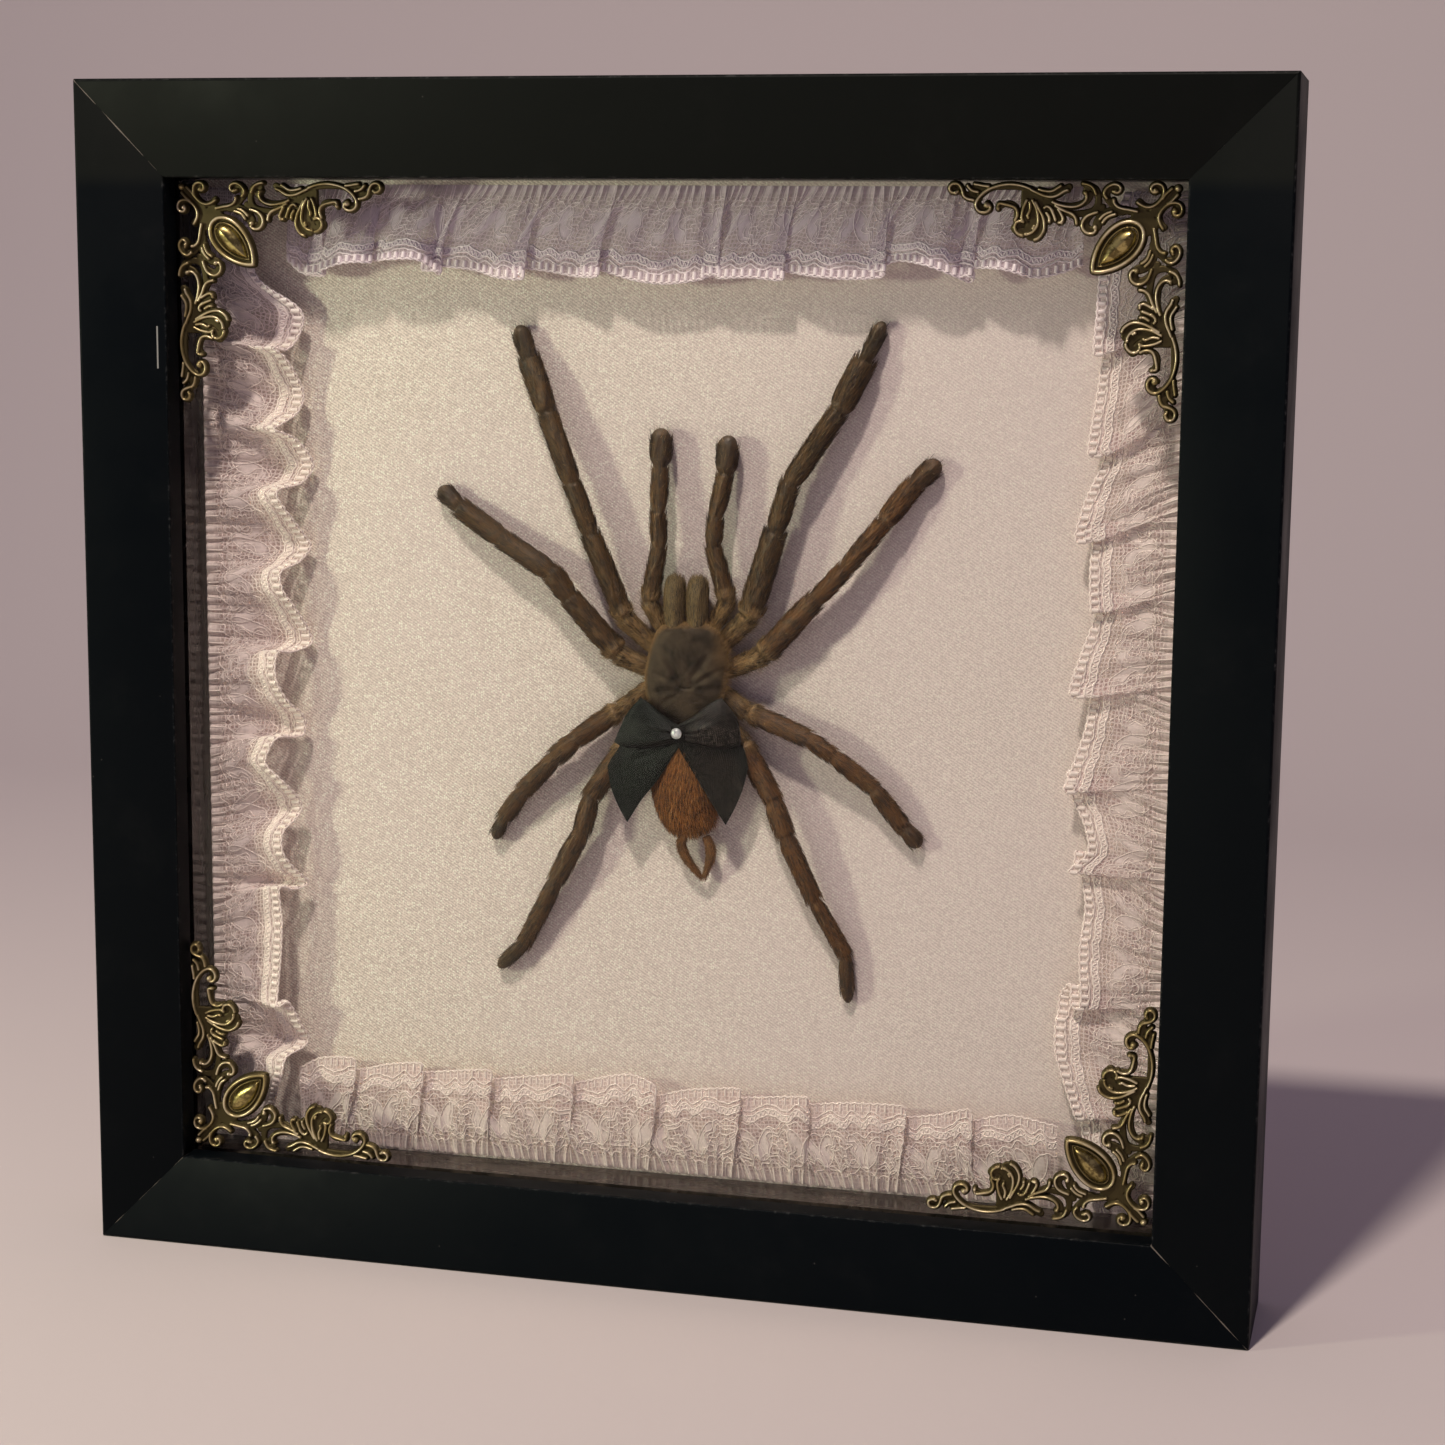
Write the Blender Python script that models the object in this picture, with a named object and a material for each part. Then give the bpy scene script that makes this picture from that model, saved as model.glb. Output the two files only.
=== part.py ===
"""A tarantula specimen in a square black box frame.

The frame is four mitred rails round a pane of glass, glossy spacer strips, a satin-covered
backing, a mount board and a back panel. Gathered lace runs along the four inner sides, filigree
metal corners are glued to the front of the glass, and the spider wears a ribbon bow with a
rhinestone. Metres, +Z up, front face towards -Y, origin at the middle of the bottom.
"""

import math

import bmesh
import bpy
import numpy as np
from mathutils import Vector
from mathutils.geometry import delaunay_2d_cdt

MM = 0.001
GAP = 0.3  # millimetres between neighbouring pieces

# Driving dimensions of the frame, in millimetres. Depths are measured back from the front face.
SIDE = 240.0
DEPTH = 28.0
FACE_WIDTH = 19.2
LIP_DEPTH = 5.5
LIP_COVER = 5.0  # how far the lip reaches in over the glass
GLASS_THICK = 1.6
SATIN_DEPTH = 17.5  # the satin's front face
SATIN_THICK = 0.4
BOARD_THICK = 3.0
PANEL_THICK = 2.5

OPENING = SIDE / 2 - FACE_WIDTH  # half of the visible opening
REBATE = OPENING + LIP_COVER  # half of the space behind the lip
PANE = REBATE - GAP  # half of each sheet that sits in that space
GLASS_DEPTH = LIP_DEPTH + GAP
SPACER_DEPTH = GLASS_DEPTH + GLASS_THICK + GAP
BOARD_DEPTH = SATIN_DEPTH + SATIN_THICK + GAP
PANEL_DEPTH = BOARD_DEPTH + BOARD_THICK + GAP
HARDWARE_DEPTH = PANEL_DEPTH + PANEL_THICK + GAP

# Finishes: red, green, blue, roughness, metallic.
BLACK_FOIL = (0.012, 0.013, 0.015, 0.45, 0.0)
BLACK_GLOSS = (0.01, 0.01, 0.01, 0.2, 0.0)
CLEAR_GLASS = (0.95, 0.97, 0.96, 0.03, 0.0)
PALE_SATIN = (0.72, 0.62, 0.56, 0.5, 0.0)
GREY_BOARD = (0.5, 0.45, 0.4, 0.9, 0.0)
BROWN_BOARD = (0.3, 0.2, 0.12, 0.85, 0.0)
ZINC = (0.6, 0.6, 0.6, 0.35, 1.0)
OLD_BRASS = (0.42, 0.31, 0.12, 0.4, 1.0)
LILAC_LACE = (0.72, 0.6, 0.64, 0.8, 0.0)
DARK_SHELL = (0.06, 0.045, 0.03, 0.7, 0.0)
BROWN_HAIR = (0.1, 0.055, 0.03, 0.8, 0.0)
ORANGE_HAIR = (0.28, 0.12, 0.03, 0.8, 0.0)
BLACK_RIBBON = (0.01, 0.014, 0.013, 0.5, 0.0)
WHITE_STONE = (0.85, 0.92, 0.9, 0.1, 0.0)


def clear_scene():
    for leftover in list(bpy.data.objects):
        bpy.data.objects.remove(leftover)


def finish_of(name, finish):
    material = bpy.data.materials.get(name) or bpy.data.materials.new(name)
    material.use_nodes = True
    shader = material.node_tree.nodes["Principled BSDF"]
    shader.inputs["Base Color"].default_value = (*finish[:3], 1.0)
    shader.inputs["Roughness"].default_value = finish[3]
    shader.inputs["Metallic"].default_value = finish[4]
    return material


def place(across, depth, up):
    """A point in metres: across and up from the frame's centre, depth back from the front face."""
    return Vector((across * MM, (depth - DEPTH / 2) * MM, (up + SIDE / 2) * MM))


def above_satin(across, up, height):
    """A point in metres that stands a height in front of the satin."""
    return place(across, SATIN_DEPTH - height, up)


def new_object(name, points, faces, finish, smooth=False):
    mesh = bpy.data.meshes.new(name)
    mesh.from_pydata([tuple(p) for p in points], [], faces)
    shape = bmesh.new()
    shape.from_mesh(mesh)
    bmesh.ops.triangulate(shape, faces=shape.faces)  # ruffles and limbs have twisted four-sided faces
    bmesh.ops.recalc_face_normals(shape, faces=shape.faces)
    if shape.calc_volume(signed=True) < 0:
        bmesh.ops.reverse_faces(shape, faces=shape.faces)
    shape.to_mesh(mesh)
    shape.free()
    made = bpy.data.objects.new(name, mesh)
    bpy.context.scene.collection.objects.link(made)
    mesh.materials.append(finish_of(name, finish))
    if smooth:
        mesh.shade_smooth()
        mesh.set_sharp_from_angle(angle=math.radians(40))
    return made


def loft(rings):
    """The points and faces that join equal rings in a row, with a flat cap at each end."""
    size = len(rings[0])
    points = [p for ring in rings for p in ring]
    faces = []
    for row in range(len(rings) - 1):
        here, there = row * size, (row + 1) * size
        for i in range(size):
            j = (i + 1) % size
            faces.append((here + i, here + j, there + j, there + i))
    last = (len(rings) - 1) * size
    faces.append(tuple(reversed(range(size))))
    faces.append(tuple(range(last, last + size)))
    return points, faces


def box(name, across, depth, up, finish):
    """A plain block between two values of each of across, depth and up."""
    (x0, x1), (z0, z1) = across, up
    corners = ((x0, z0), (x1, z0), (x1, z1), (x0, z1))
    points, faces = loft([[place(x, d, z) for x, z in corners] for d in depth])
    return new_object(name, points, faces, finish)


def use_boolean(target, cutter, operation):
    """Cuts cutter out of target, or joins it on, for good."""
    modifier = target.modifiers.new("Boolean", "BOOLEAN")
    modifier.operation = operation
    modifier.solver = "EXACT"
    modifier.object = cutter
    bpy.context.view_layer.update()
    evaluated = target.evaluated_get(bpy.context.evaluated_depsgraph_get())
    result = bpy.data.meshes.new_from_object(evaluated)
    target.modifiers.clear()
    target.data = result


# ---------------------------------------------------------------- the four mitred rails
def arc(centre, radius, start, end, steps):
    """Points of an arc in a rail's section, angles in degrees."""
    angles = [math.radians(start + (end - start) * i / steps) for i in range(steps + 1)]
    return [(centre[0] + radius * math.cos(a), centre[1] + radius * math.sin(a)) for a in angles]


def rail_section():
    """The L-shaped section: first value from the outer side inwards, second from the front back."""
    soft, small = 0.7, 0.4
    wall = FACE_WIDTH - LIP_COVER
    return (
        arc((soft, soft), soft, 180, 270, 3)
        + arc((FACE_WIDTH - small, small), small, 270, 360, 2)
        + [(FACE_WIDTH, LIP_DEPTH), (wall, LIP_DEPTH), (wall, DEPTH)]
        + arc((small, DEPTH - small), small, 90, 180, 2)
    )


def make_rails():
    mitre = GAP / 2 * math.sqrt(2)
    for side, turns in (("bottom", 0), ("right", 1), ("top", 2), ("left", 3)):
        angle = -turns * math.pi / 2
        rings = []
        for end in (-1, 1):
            ring = []
            for inwards, depth in rail_section():
                along = end * (SIDE / 2 - inwards - mitre)
                up = inwards - SIDE / 2
                across = along * math.cos(angle) + up * math.sin(angle)
                height = -along * math.sin(angle) + up * math.cos(angle)
                ring.append(place(across, depth, height))
            rings.append(ring)
        points, faces = loft(rings)
        new_object("frame_rail_" + side, points, faces, BLACK_FOIL)


# ---------------------------------------------------------------- the sheets inside the frame
def make_sheets():
    span = (-PANE, PANE)
    box("glass_pane", span, (GLASS_DEPTH, GLASS_DEPTH + GLASS_THICK), span, CLEAR_GLASS)
    spacer = (SPACER_DEPTH, SATIN_DEPTH - GAP)
    inner = OPENING
    box("spacer_top", span, spacer, (inner, PANE), BLACK_GLOSS)
    box("spacer_bottom", span, spacer, (-PANE, -inner), BLACK_GLOSS)
    box("spacer_left", (-PANE, -inner), spacer, (-inner + GAP, inner - GAP), BLACK_GLOSS)
    box("spacer_right", (inner, PANE), spacer, (-inner + GAP, inner - GAP), BLACK_GLOSS)
    box("satin_backing", span, (SATIN_DEPTH, SATIN_DEPTH + SATIN_THICK), span, PALE_SATIN)
    box("mount_board", span, (BOARD_DEPTH, BOARD_DEPTH + BOARD_THICK), span, GREY_BOARD)
    box("back_panel", span, (PANEL_DEPTH, PANEL_DEPTH + PANEL_THICK), span, BROWN_BOARD)


def make_back_hardware():
    """Four flat steel points hold the back panel in, and a sawtooth plate hangs the frame."""
    tab_long, tab_half, tab_thick = 12.0, 4.0, 0.6
    depth = (HARDWARE_DEPTH, HARDWARE_DEPTH + tab_thick)
    reach = (REBATE - GAP - tab_long, REBATE - GAP)
    middle = (-tab_half, tab_half)
    box("point_top", middle, depth, reach, ZINC)
    box("point_bottom", middle, depth, (-reach[1], -reach[0]), ZINC)
    box("point_right", reach, depth, middle, ZINC)
    box("point_left", (-reach[1], -reach[0]), depth, middle, ZINC)

    plate_half, plate_top, plate_low, teeth, tooth = 22.5, 84.0, 76.5, 12, 1.4
    outline = [(plate_half, plate_low), (plate_half, plate_top)]
    outline += [(-plate_half, plate_top), (-plate_half, plate_low)]
    first = -plate_half * 0.6
    step = -2 * first / teeth
    for i in range(teeth):
        outline.append((first + i * step, plate_low))
        outline.append((first + (i + 0.5) * step, plate_low + tooth))
    outline.append((-first, plate_low))
    thick = 0.8
    rings = [[place(x, d, z) for x, z in outline] for d in (HARDWARE_DEPTH, HARDWARE_DEPTH + thick)]
    points, faces = loft(rings)
    new_object("hanger_plate", points, faces, ZINC)

    head, head_thick, facets = 1.8, 0.9, 10
    from_end, up = 3.5, 80.5
    turn = [2 * math.pi * i / facets for i in range(facets)]
    for side, across in (("left", from_end - plate_half), ("right", plate_half - from_end)):
        rings = []
        for d, radius in ((0.0, head), (head_thick * 0.6, head), (head_thick, head * 0.6)):
            at = HARDWARE_DEPTH + thick + GAP + d
            rings.append([place(across + radius * math.cos(a), at, up + radius * math.sin(a)) for a in turn])
        points, faces = loft(rings)
        new_object("hanger_nail_" + side, points, faces, ZINC, smooth=True)


# ---------------------------------------------------------------- the four filigree corners
# Each stroke of the cast scrollwork: its half width, then its points, in millimetres. The first
# value of a point runs along one arm from the outer corner, the second away from the outer edge.
# Every stroke is repeated on the other arm by swapping the two values.
STROKES = (
    (0.75, ((1.3, 1.3), (2.8, 2.8), (4.4, 4.4), (6.4, 6.4))),
    (0.5, ((5.2, 1.8), (5.4, 1.1), (4.7, 0.9), (3.9, 1.3), (3.8, 2.5), (4.6, 3.9), (6.0, 4.7))),
    (0.5, ((6.0, 4.7), (7.5, 4.4), (8.3, 3.6))),
    (0.5, ((12.7, 1.7), (11.8, 1.5), (12.2, 0.9), (13.5, 0.9), (14.4, 1.8), (14.2, 3.2))),
    (0.5, ((14.2, 3.2), (13.2, 4.4), (11.4, 5.3))),
    (0.55, ((11.4, 5.3), (9.2, 5.5), (7.4, 5.2))),
    (0.5, ((18.1, 1.4), (17.4, 0.9), (16.5, 1.2), (15.9, 2.2), (15.8, 3.6))),
    (0.55, ((17.4, 2.4), (17.8, 3.4), (19.0, 4.2), (21.0, 4.6), (23.2, 4.3), (25.4, 3.6))),
    (0.55, ((21.3, 1.0), (23.2, 1.8), (25.2, 2.2), (27.2, 1.9), (29.0, 1.2), (31.5, 0.9), (34.5, 0.95))),
    (0.5, ((34.5, 0.95), (36.8, 1.5), (38.1, 2.8), (38.4, 4.1), (37.6, 4.9), (36.5, 4.6), (36.4, 4.0))),
    (0.5, ((30.9, 6.3), (30.8, 5.2), (31.6, 4.2), (32.9, 4.0), (34.0, 4.5))),
    (0.9, ((27.8, 2.2), (26.0, 4.4), (25.7, 6.8), (26.6, 9.0), (28.2, 9.9))),
    (0.9, ((28.4, 2.4), (27.5, 4.6), (27.5, 7.0), (28.6, 9.0), (30.0, 9.6), (31.0, 8.6))),
    (0.9, ((29.2, 2.2), (29.2, 4.6), (29.5, 6.8), (30.6, 7.8))),
    (0.6, ((25.6, 4.0), (22.8, 5.0), (20.3, 6.2))),
    (0.6, ((26.0, 4.8), (24.0, 5.8), (22.4, 6.8))),
    (0.6, ((26.2, 5.4), (25.2, 6.2), (24.4, 6.9))),
    (0.5, ((15.0, 4.6), (16.8, 5.6), (18.1, 7.2), (17.8, 8.6), (16.8, 8.8))),
    (0.8, ((11.4, 5.3), (13.8, 5.4), (15.6, 6.8), (16.0, 8.2))),
    (0.55, ((15.8, 3.6), (16.0, 4.6), (17.0, 5.6), (20.3, 6.0))),
    (0.5, ((38.0, 3.2), (39.8, 2.8), (41.6, 2.0), (43.0, 1.4))),
    (0.45, ((36.8, 1.4), (38.4, 0.9), (39.3, 1.3), (39.8, 2.8))),
)
BALLS = ((1.3, 1.3, 1.0), (43.0, 1.4, 0.8), (30.6, 8.2, 1.2), (37.2, 4.4, 0.8), (17.2, 8.2, 0.9))
WEB = (7.6, 7.6, 2.6)  # the solid middle behind the scrolls: centre and radius
CORNER_PLATE = 0.9
TEAR_CENTRE = 12.2  # the teardrop's centre on both arms' scale
TEAR_LONG = 12.8
TEAR_WIDE = 8.4
TEAR_TAPER = 0.45  # higher values draw the drop's point out longer
# Rings of the teardrop's raised rim, groove and dome: distance in from its edge, and height.
TEAR_RINGS = ((0.35, 1.5), (0.75, 1.4), (1.15, 0.95), (2.3, 2.4))
SMALLEST_HOLE = 1.0  # square millimetres
PLAINNESS = 0.3  # each bend of the outlines spans at least this area, in square millimetres
# Where each corner was glued: how far its edges stand off the two inner sides.
CORNER_PLACES = {
    "top_left": (-1, 1, 0.6, 0.5),
    "top_right": (1, 1, 1.0, 0.2),
    "bottom_left": (-1, -1, 0.2, 1.1),
    "bottom_right": (1, -1, 0.8, 1.8),
}


def teardrop(inset, steps=16):
    """The outline of the teardrop, moved in by inset, its point towards the frame's centre."""
    half_long, half_wide = TEAR_LONG / 2 - inset, TEAR_WIDE / 2 - inset
    outline = []
    for i in range(steps):
        t = 2 * math.pi * i / steps
        along = half_long * math.cos(t) + inset * 0.2
        across = half_wide * math.sin(t) * math.sin(t / 2) ** TEAR_TAPER if i else 0.0
        diagonal = math.sqrt(0.5)
        turned = ((along - across) * diagonal, (along + across) * diagonal)
        outline.append((TEAR_CENTRE + turned[0], TEAR_CENTRE + turned[1]))
    return outline


def metal_distance(x, y):
    """Distance from each grid point to the metal's edge, negative inside."""
    nearest = np.hypot(x - WEB[0], y - WEB[1]) - WEB[2]
    for p, q in ((x, y), (y, x)):
        for half_width, line in STROKES:
            for (x0, y0), (x1, y1) in zip(line, line[1:]):
                dx, dy = x1 - x0, y1 - y0
                share = np.clip(((p - x0) * dx + (q - y0) * dy) / (dx * dx + dy * dy), 0, 1)
                nearest = np.minimum(nearest, np.hypot(p - x0 - share * dx, q - y0 - share * dy) - half_width)
        for bx, by, radius in BALLS:
            nearest = np.minimum(nearest, np.hypot(p - bx, q - by) - radius)
    outline = np.array(teardrop(0.0))
    inside = inside_loops(x, y, [outline])
    edge = np.full(x.shape, 99.0)
    for a, b in zip(outline, np.roll(outline, -1, axis=0)):
        d = b - a
        share = np.clip(((x - a[0]) * d[0] + (y - a[1]) * d[1]) / (d @ d), 0, 1)
        edge = np.minimum(edge, np.hypot(x - a[0] - share * d[0], y - a[1] - share * d[1]))
    return np.minimum(nearest, np.where(inside, -edge, edge) - 0.25)


def inside_loops(x, y, loops):
    """Which points lie inside an odd number of closed outlines."""
    inside = np.zeros(np.shape(x), bool)
    for loop in loops:
        for a, b in zip(loop, np.roll(loop, -1, axis=0)):
            crosses = (a[1] > y) != (b[1] > y)
            rise = b[1] - a[1] if b[1] != a[1] else 1e-12
            inside ^= crosses & (x < (b[0] - a[0]) * (y - a[1]) / rise + a[0])
    return inside


def contours(step=0.3, size=45.6):
    """The closed outlines of the metal and of its holes, by marching over a square grid."""
    count = int(size / step)
    line = np.arange(count) * step
    x, y = np.meshgrid(line, line, indexing="ij")
    value = metal_distance(x, y)
    value[0, :] = value[-1, :] = value[:, 0] = value[:, -1] = 1.0
    follows = {}

    def cut(a, b):
        """The key and the point where the outline crosses the grid edge between a and b."""
        a, b = min(a, b), max(a, b)
        share = value[a] / (value[a] - value[b])
        point = tuple(line[a[k]] + share * (line[b[k]] - line[a[k]]) for k in (0, 1))
        return (a, b), point

    spots = {}
    for i in range(count - 1):
        for j in range(count - 1):
            ring = [(i, j), (i + 1, j), (i + 1, j + 1), (i, j + 1)]
            signs = [value[c] < 0 for c in ring]
            if all(signs) or not any(signs):
                continue
            leaving, entering = [], []
            for k in range(4):
                if signs[k] != signs[(k + 1) % 4]:
                    key, point = cut(ring[k], ring[(k + 1) % 4])
                    spots[key] = point
                    (leaving if signs[k] else entering).append(key)
            for a, b in zip(leaving, entering if len(entering) == 1 else entering[::-1]):
                follows[a] = b
    loops = []
    while follows:
        start, loop = next(iter(follows)), []
        key = start
        while key in follows:
            loop.append(spots[key])
            key = follows.pop(key)
        loops.append(np.array(loop))
    return loops


def thinned(loop, least):
    """The loop without its flattest points: each corner left spans at least that area."""
    points = [np.array(p) for p in loop]
    while len(points) > 6:
        areas = []
        for i, p in enumerate(points):
            a, b = points[i - 1], points[(i + 1) % len(points)]
            areas.append(abs((p[0] - a[0]) * (b[1] - a[1]) - (b[0] - a[0]) * (p[1] - a[1])) / 2)
        smallest = int(np.argmin(areas))
        if areas[smallest] > least:
            break
        points.pop(smallest)
    return np.array(points)


def area_of(loop):
    x, y = loop[:, 0], loop[:, 1]
    return 0.5 * float(np.sum(x * np.roll(y, -1) - np.roll(x, -1) * y))


def corner_shape():
    """The filigree as one closed body: points as (along, away, height) and faces."""
    loops = [loop for loop in contours() if abs(area_of(loop)) > SMALLEST_HOLE]
    widest = max(loops, key=lambda loop: abs(area_of(loop)))
    outside = abs(area_of(widest)) / area_of(widest)
    holes = [loop for loop in loops if area_of(loop) * outside < 0]
    outlines = [thinned(loop, PLAINNESS) for loop in [widest] + holes]
    rim = np.array(teardrop(0.0))
    loops_all = outlines + [rim]
    flat, edges = [], []
    for loop in loops_all:
        first = len(flat)
        flat += [Vector(p) for p in loop]
        edges += [(first + i, first + (i + 1) % len(loop)) for i in range(len(loop))]
    found = delaunay_2d_cdt(flat, edges, [], 0, 1e-5)
    spots = np.array([tuple(v) for v in found[0]])
    triangles = [tuple(t) for t in found[2]]
    centres = np.array([spots[list(t)].mean(axis=0) for t in triangles])
    metal = inside_loops(centres[:, 0], centres[:, 1], outlines)
    tear = inside_loops(centres[:, 0], centres[:, 1], [rim])

    count = len(spots)
    points = [(x, y, 0.0) for x, y in spots] + [(x, y, CORNER_PLATE) for x, y in spots]
    faces, top_edges = [], {}
    for triangle, is_metal, is_tear in zip(triangles, metal, tear):
        if not is_metal:
            continue
        faces.append(tuple(reversed(triangle)))
        if not is_tear:
            faces.append(tuple(count + i for i in triangle))
        for i in range(3):
            a, b = triangle[i], triangle[(i + 1) % 3]
            top_edges[(a, b)] = True
    for a, b in top_edges:
        if (b, a) not in top_edges:
            faces.append((a, b, count + b, count + a))

    nearest = [int(np.argmin(np.hypot(spots[:, 0] - x, spots[:, 1] - y))) + count for x, y in rim]
    ring = nearest
    for inset, height in TEAR_RINGS:
        first = len(points)
        points += [(x, y, height) for x, y in teardrop(inset)]
        after = list(range(first, first + len(ring)))
        for i in range(len(ring)):
            j = (i + 1) % len(ring)
            faces.append((ring[i], ring[j], after[j], after[i]))
        ring = after
    faces.append(tuple(ring))
    return points, faces


def make_corners():
    points, faces = corner_shape()
    for place_name, (side_x, side_z, off_x, off_z) in CORNER_PLACES.items():
        spots = []
        for along, away, height in points:
            across = side_x * (OPENING - off_x - along)
            up = side_z * (OPENING - off_z - away)
            spots.append(place(across, LIP_DEPTH - height, up))
        new_object("corner_" + place_name, spots, faces, OLD_BRASS)


# ---------------------------------------------------------------- gathered lace
LACE_WIDE = 19.0
LACE_THICK = 0.8
LACE_FOLD = 16.5  # length of one ruffle along the strip
LACE_SWING = 2.4  # how far a ruffle moves the free edge in and out
HEADING = 0.7  # from the spacer to the sewn edge


def make_lace_strip(name, start, end, turns, phase):
    """A ruffled strip along one inner side; turns is its quarter turns from the left side."""
    steps = round((end - start) / (LACE_FOLD / 3))
    rings = []
    for i in range(steps + 1):
        along = start + (end - start) * i / steps
        wave = 2 * math.pi * along / LACE_FOLD + phase
        calm = min(1.0, max(0.0, (OPENING - 20 - abs(along)) / 6))
        free_edge = HEADING + LACE_WIDE + calm * LACE_SWING * math.sin(wave)
        section = ((HEADING, 1.4), (free_edge, 5.0 + 1.8 * math.cos(wave)))
        ring = [(d, h + LACE_THICK / 2) for d, h in section]
        ring += [(d, h - LACE_THICK / 2) for d, h in reversed(section)]
        spots = []
        for from_wall, height in ring:
            x, z = from_wall - OPENING, along
            for _ in range(turns):
                x, z = z, -x
            spots.append(above_satin(x, z, height))
        rings.append(spots)
    points, faces = loft(rings)
    new_object(name, points, faces, LILAC_LACE)


def make_lace():
    full = OPENING - 0.8
    between = OPENING - LACE_WIDE - HEADING - 0.6
    make_lace_strip("lace_left", -full, full, 0, 0.6)
    make_lace_strip("lace_top", -between, between, 1, 2.1)
    make_lace_strip("lace_right", -full, full, 2, 1.2)
    make_lace_strip("lace_bottom", -between, between, 3, 0.0)


# ---------------------------------------------------------------- the spider
# Joints of each leg from the body out, in millimetres: across and up from the frame's centre,
# and height above the satin. They are the coxa, trochanter, femur, patella, tibia, metatarsus
# and tarsus ends. Then the half thickness of each stretch between them.
LEGS = {
    "leg_left_1": (
        (
            (-2.6, 9.4, 4.0), (-8.5, 14.8, 4.8), (-15.3, 31.5, 6.0), (-19.2, 41.5, 6.0),
            (-24.9, 55.3, 4.5), (-29.4, 66.0, 2.6), (-31.7, 72.5, 1.9),
        ),
        (1.7, 1.95, 1.75, 1.85, 2.1, 1.6),
    ),
    "leg_left_2": (
        (
            (-3.2, 4.8, 4.0), (-9.7, 7.5, 4.8), (-19.6, 18.7, 6.0), (-23.6, 23.8, 6.0),
            (-34.4, 29.9, 4.5), (-44.1, 35.9, 2.6), (-48.6, 39.7, 1.9),
        ),
        (1.7, 2.15, 1.95, 1.9, 2.0, 1.6),
    ),
    "leg_left_3": (
        (
            (-3.4, 1.4, 4.0), (-9.3, -3.4, 4.8), (-18.3, -9.7, 6.0), (-22.9, -13.8, 5.4),
            (-30.3, -21.5, 3.8), (-35.0, -27.5, 2.3), (-37.2, -32.1, 1.7),
        ),
        (1.5, 1.85, 1.8, 1.65, 1.6, 1.4),
    ),
    "leg_left_4": (
        (
            (-1.0, -0.6, 3.6), (-8.0, -10.6, 4.4), (-15.3, -21.4, 5.4), (-17.0, -28.3, 5.8),
            (-23.0, -39.4, 4.5), (-30.6, -53.6, 2.5), (-36.3, -59.1, 1.8),
        ),
        (1.5, 1.95, 1.7, 1.75, 1.5, 1.5),
    ),
    "leg_right_1": (
        (
            (10.6, 9.9, 4.0), (16.9, 16.0, 4.8), (22.3, 33.3, 6.0), (25.1, 42.8, 6.0),
            (34.1, 56.8, 4.5), (38.8, 66.8, 2.6), (42.2, 74.3, 1.9),
        ),
        (1.7, 2.3, 1.85, 1.9, 2.2, 1.6),
    ),
    "leg_right_2": (
        (
            (12.0, 5.2, 4.0), (19.7, 8.6, 4.8), (30.3, 20.1, 6.0), (36.3, 26.4, 6.0),
            (43.4, 35.4, 4.5), (48.9, 43.0, 2.6), (53.7, 47.7, 1.9),
        ),
        (1.7, 2.1, 1.65, 1.6, 1.9, 1.6),
    ),
    "leg_right_3": (
        (
            (11.0, 1.2, 4.0), (16.7, -2.7, 4.8), (29.3, -7.1, 6.0), (34.4, -10.5, 5.4),
            (42.2, -16.8, 3.8), (48.0, -24.5, 2.3), (51.4, -28.4, 1.7),
        ),
        (1.5, 1.85, 1.55, 1.5, 1.6, 1.4),
    ),
    "leg_right_4": (
        (
            (9.0, -0.8, 3.6), (15.6, -8.8, 4.4), (22.5, -19.9, 5.4), (25.1, -27.0, 5.8),
            (30.8, -40.0, 4.5), (36.9, -51.4, 2.5), (37.5, -61.2, 1.8),
        ),
        (1.5, 1.95, 1.8, 1.65, 1.4, 1.5),
    ),
    "palp_left": (
        (
            (-1.2, 13.6, 4.4), (-3.3, 18.5, 5.4), (-1.3, 29.4, 6.2), (-1.5, 36.5, 5.8),
            (-1.6, 45.2, 4.2), (-2.0, 52.8, 2.6),
        ),
        (1.4, 1.6, 1.5, 1.5, 1.95),
    ),
    "palp_right": (
        (
            (9.6, 14.0, 4.4), (12.7, 19.2, 5.4), (9.9, 30.0, 6.2), (10.1, 35.7, 5.8),
            (11.6, 44.0, 4.2), (11.9, 51.7, 2.6),
        ),
        (1.4, 1.65, 1.5, 1.5, 1.95),
    ),
}
LEG_SIDES = 7
NECK = 0.76  # a joint's thickness against the stretches beside it


def ring_round(centre, direction, wide, tall, sides):
    """A ring of points round a direction; tall is its half size away from the satin."""
    side = direction.cross(Vector((0, 1, 0))).normalized()
    rise = side.cross(direction).normalized()
    turn = [2 * math.pi * i / sides for i in range(sides)]
    return [centre + side * (wide * MM * math.cos(a)) + rise * (tall * MM * math.sin(a)) for a in turn]


def make_limb(name, joints, halves, finish):
    """A jointed limb: each stretch swells between narrow necks, and the last ends in a round tip."""
    spots = [above_satin(*joint) for joint in joints]
    ways = [(b - a).normalized() for a, b in zip(spots, spots[1:])]
    rings = []
    for i, half in enumerate(halves):
        start, end, way = spots[i], spots[i + 1], ways[i]
        before = ways[i - 1] if i else way
        neck = NECK * min(half, halves[i - 1] if i else half)
        bend = (before + way).normalized()
        rings.append(ring_round(start, bend, neck, neck, LEG_SIDES))
        last = i == len(halves) - 1
        for share, swell in ((0.22, 0.98), (0.78, 0.95)):
            size = half * swell
            rings.append(ring_round(start.lerp(end, share), way, size, size, LEG_SIDES))
        if last:
            rings.append(ring_round(start.lerp(end, 0.97), way, half * 0.6, half * 0.6, LEG_SIDES))
            rings.append(ring_round(start.lerp(end, 1.03), way, half * 0.2, half * 0.2, LEG_SIDES))
    points, faces = loft(rings)
    return new_object(name, points, faces, finish, smooth=True)


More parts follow.
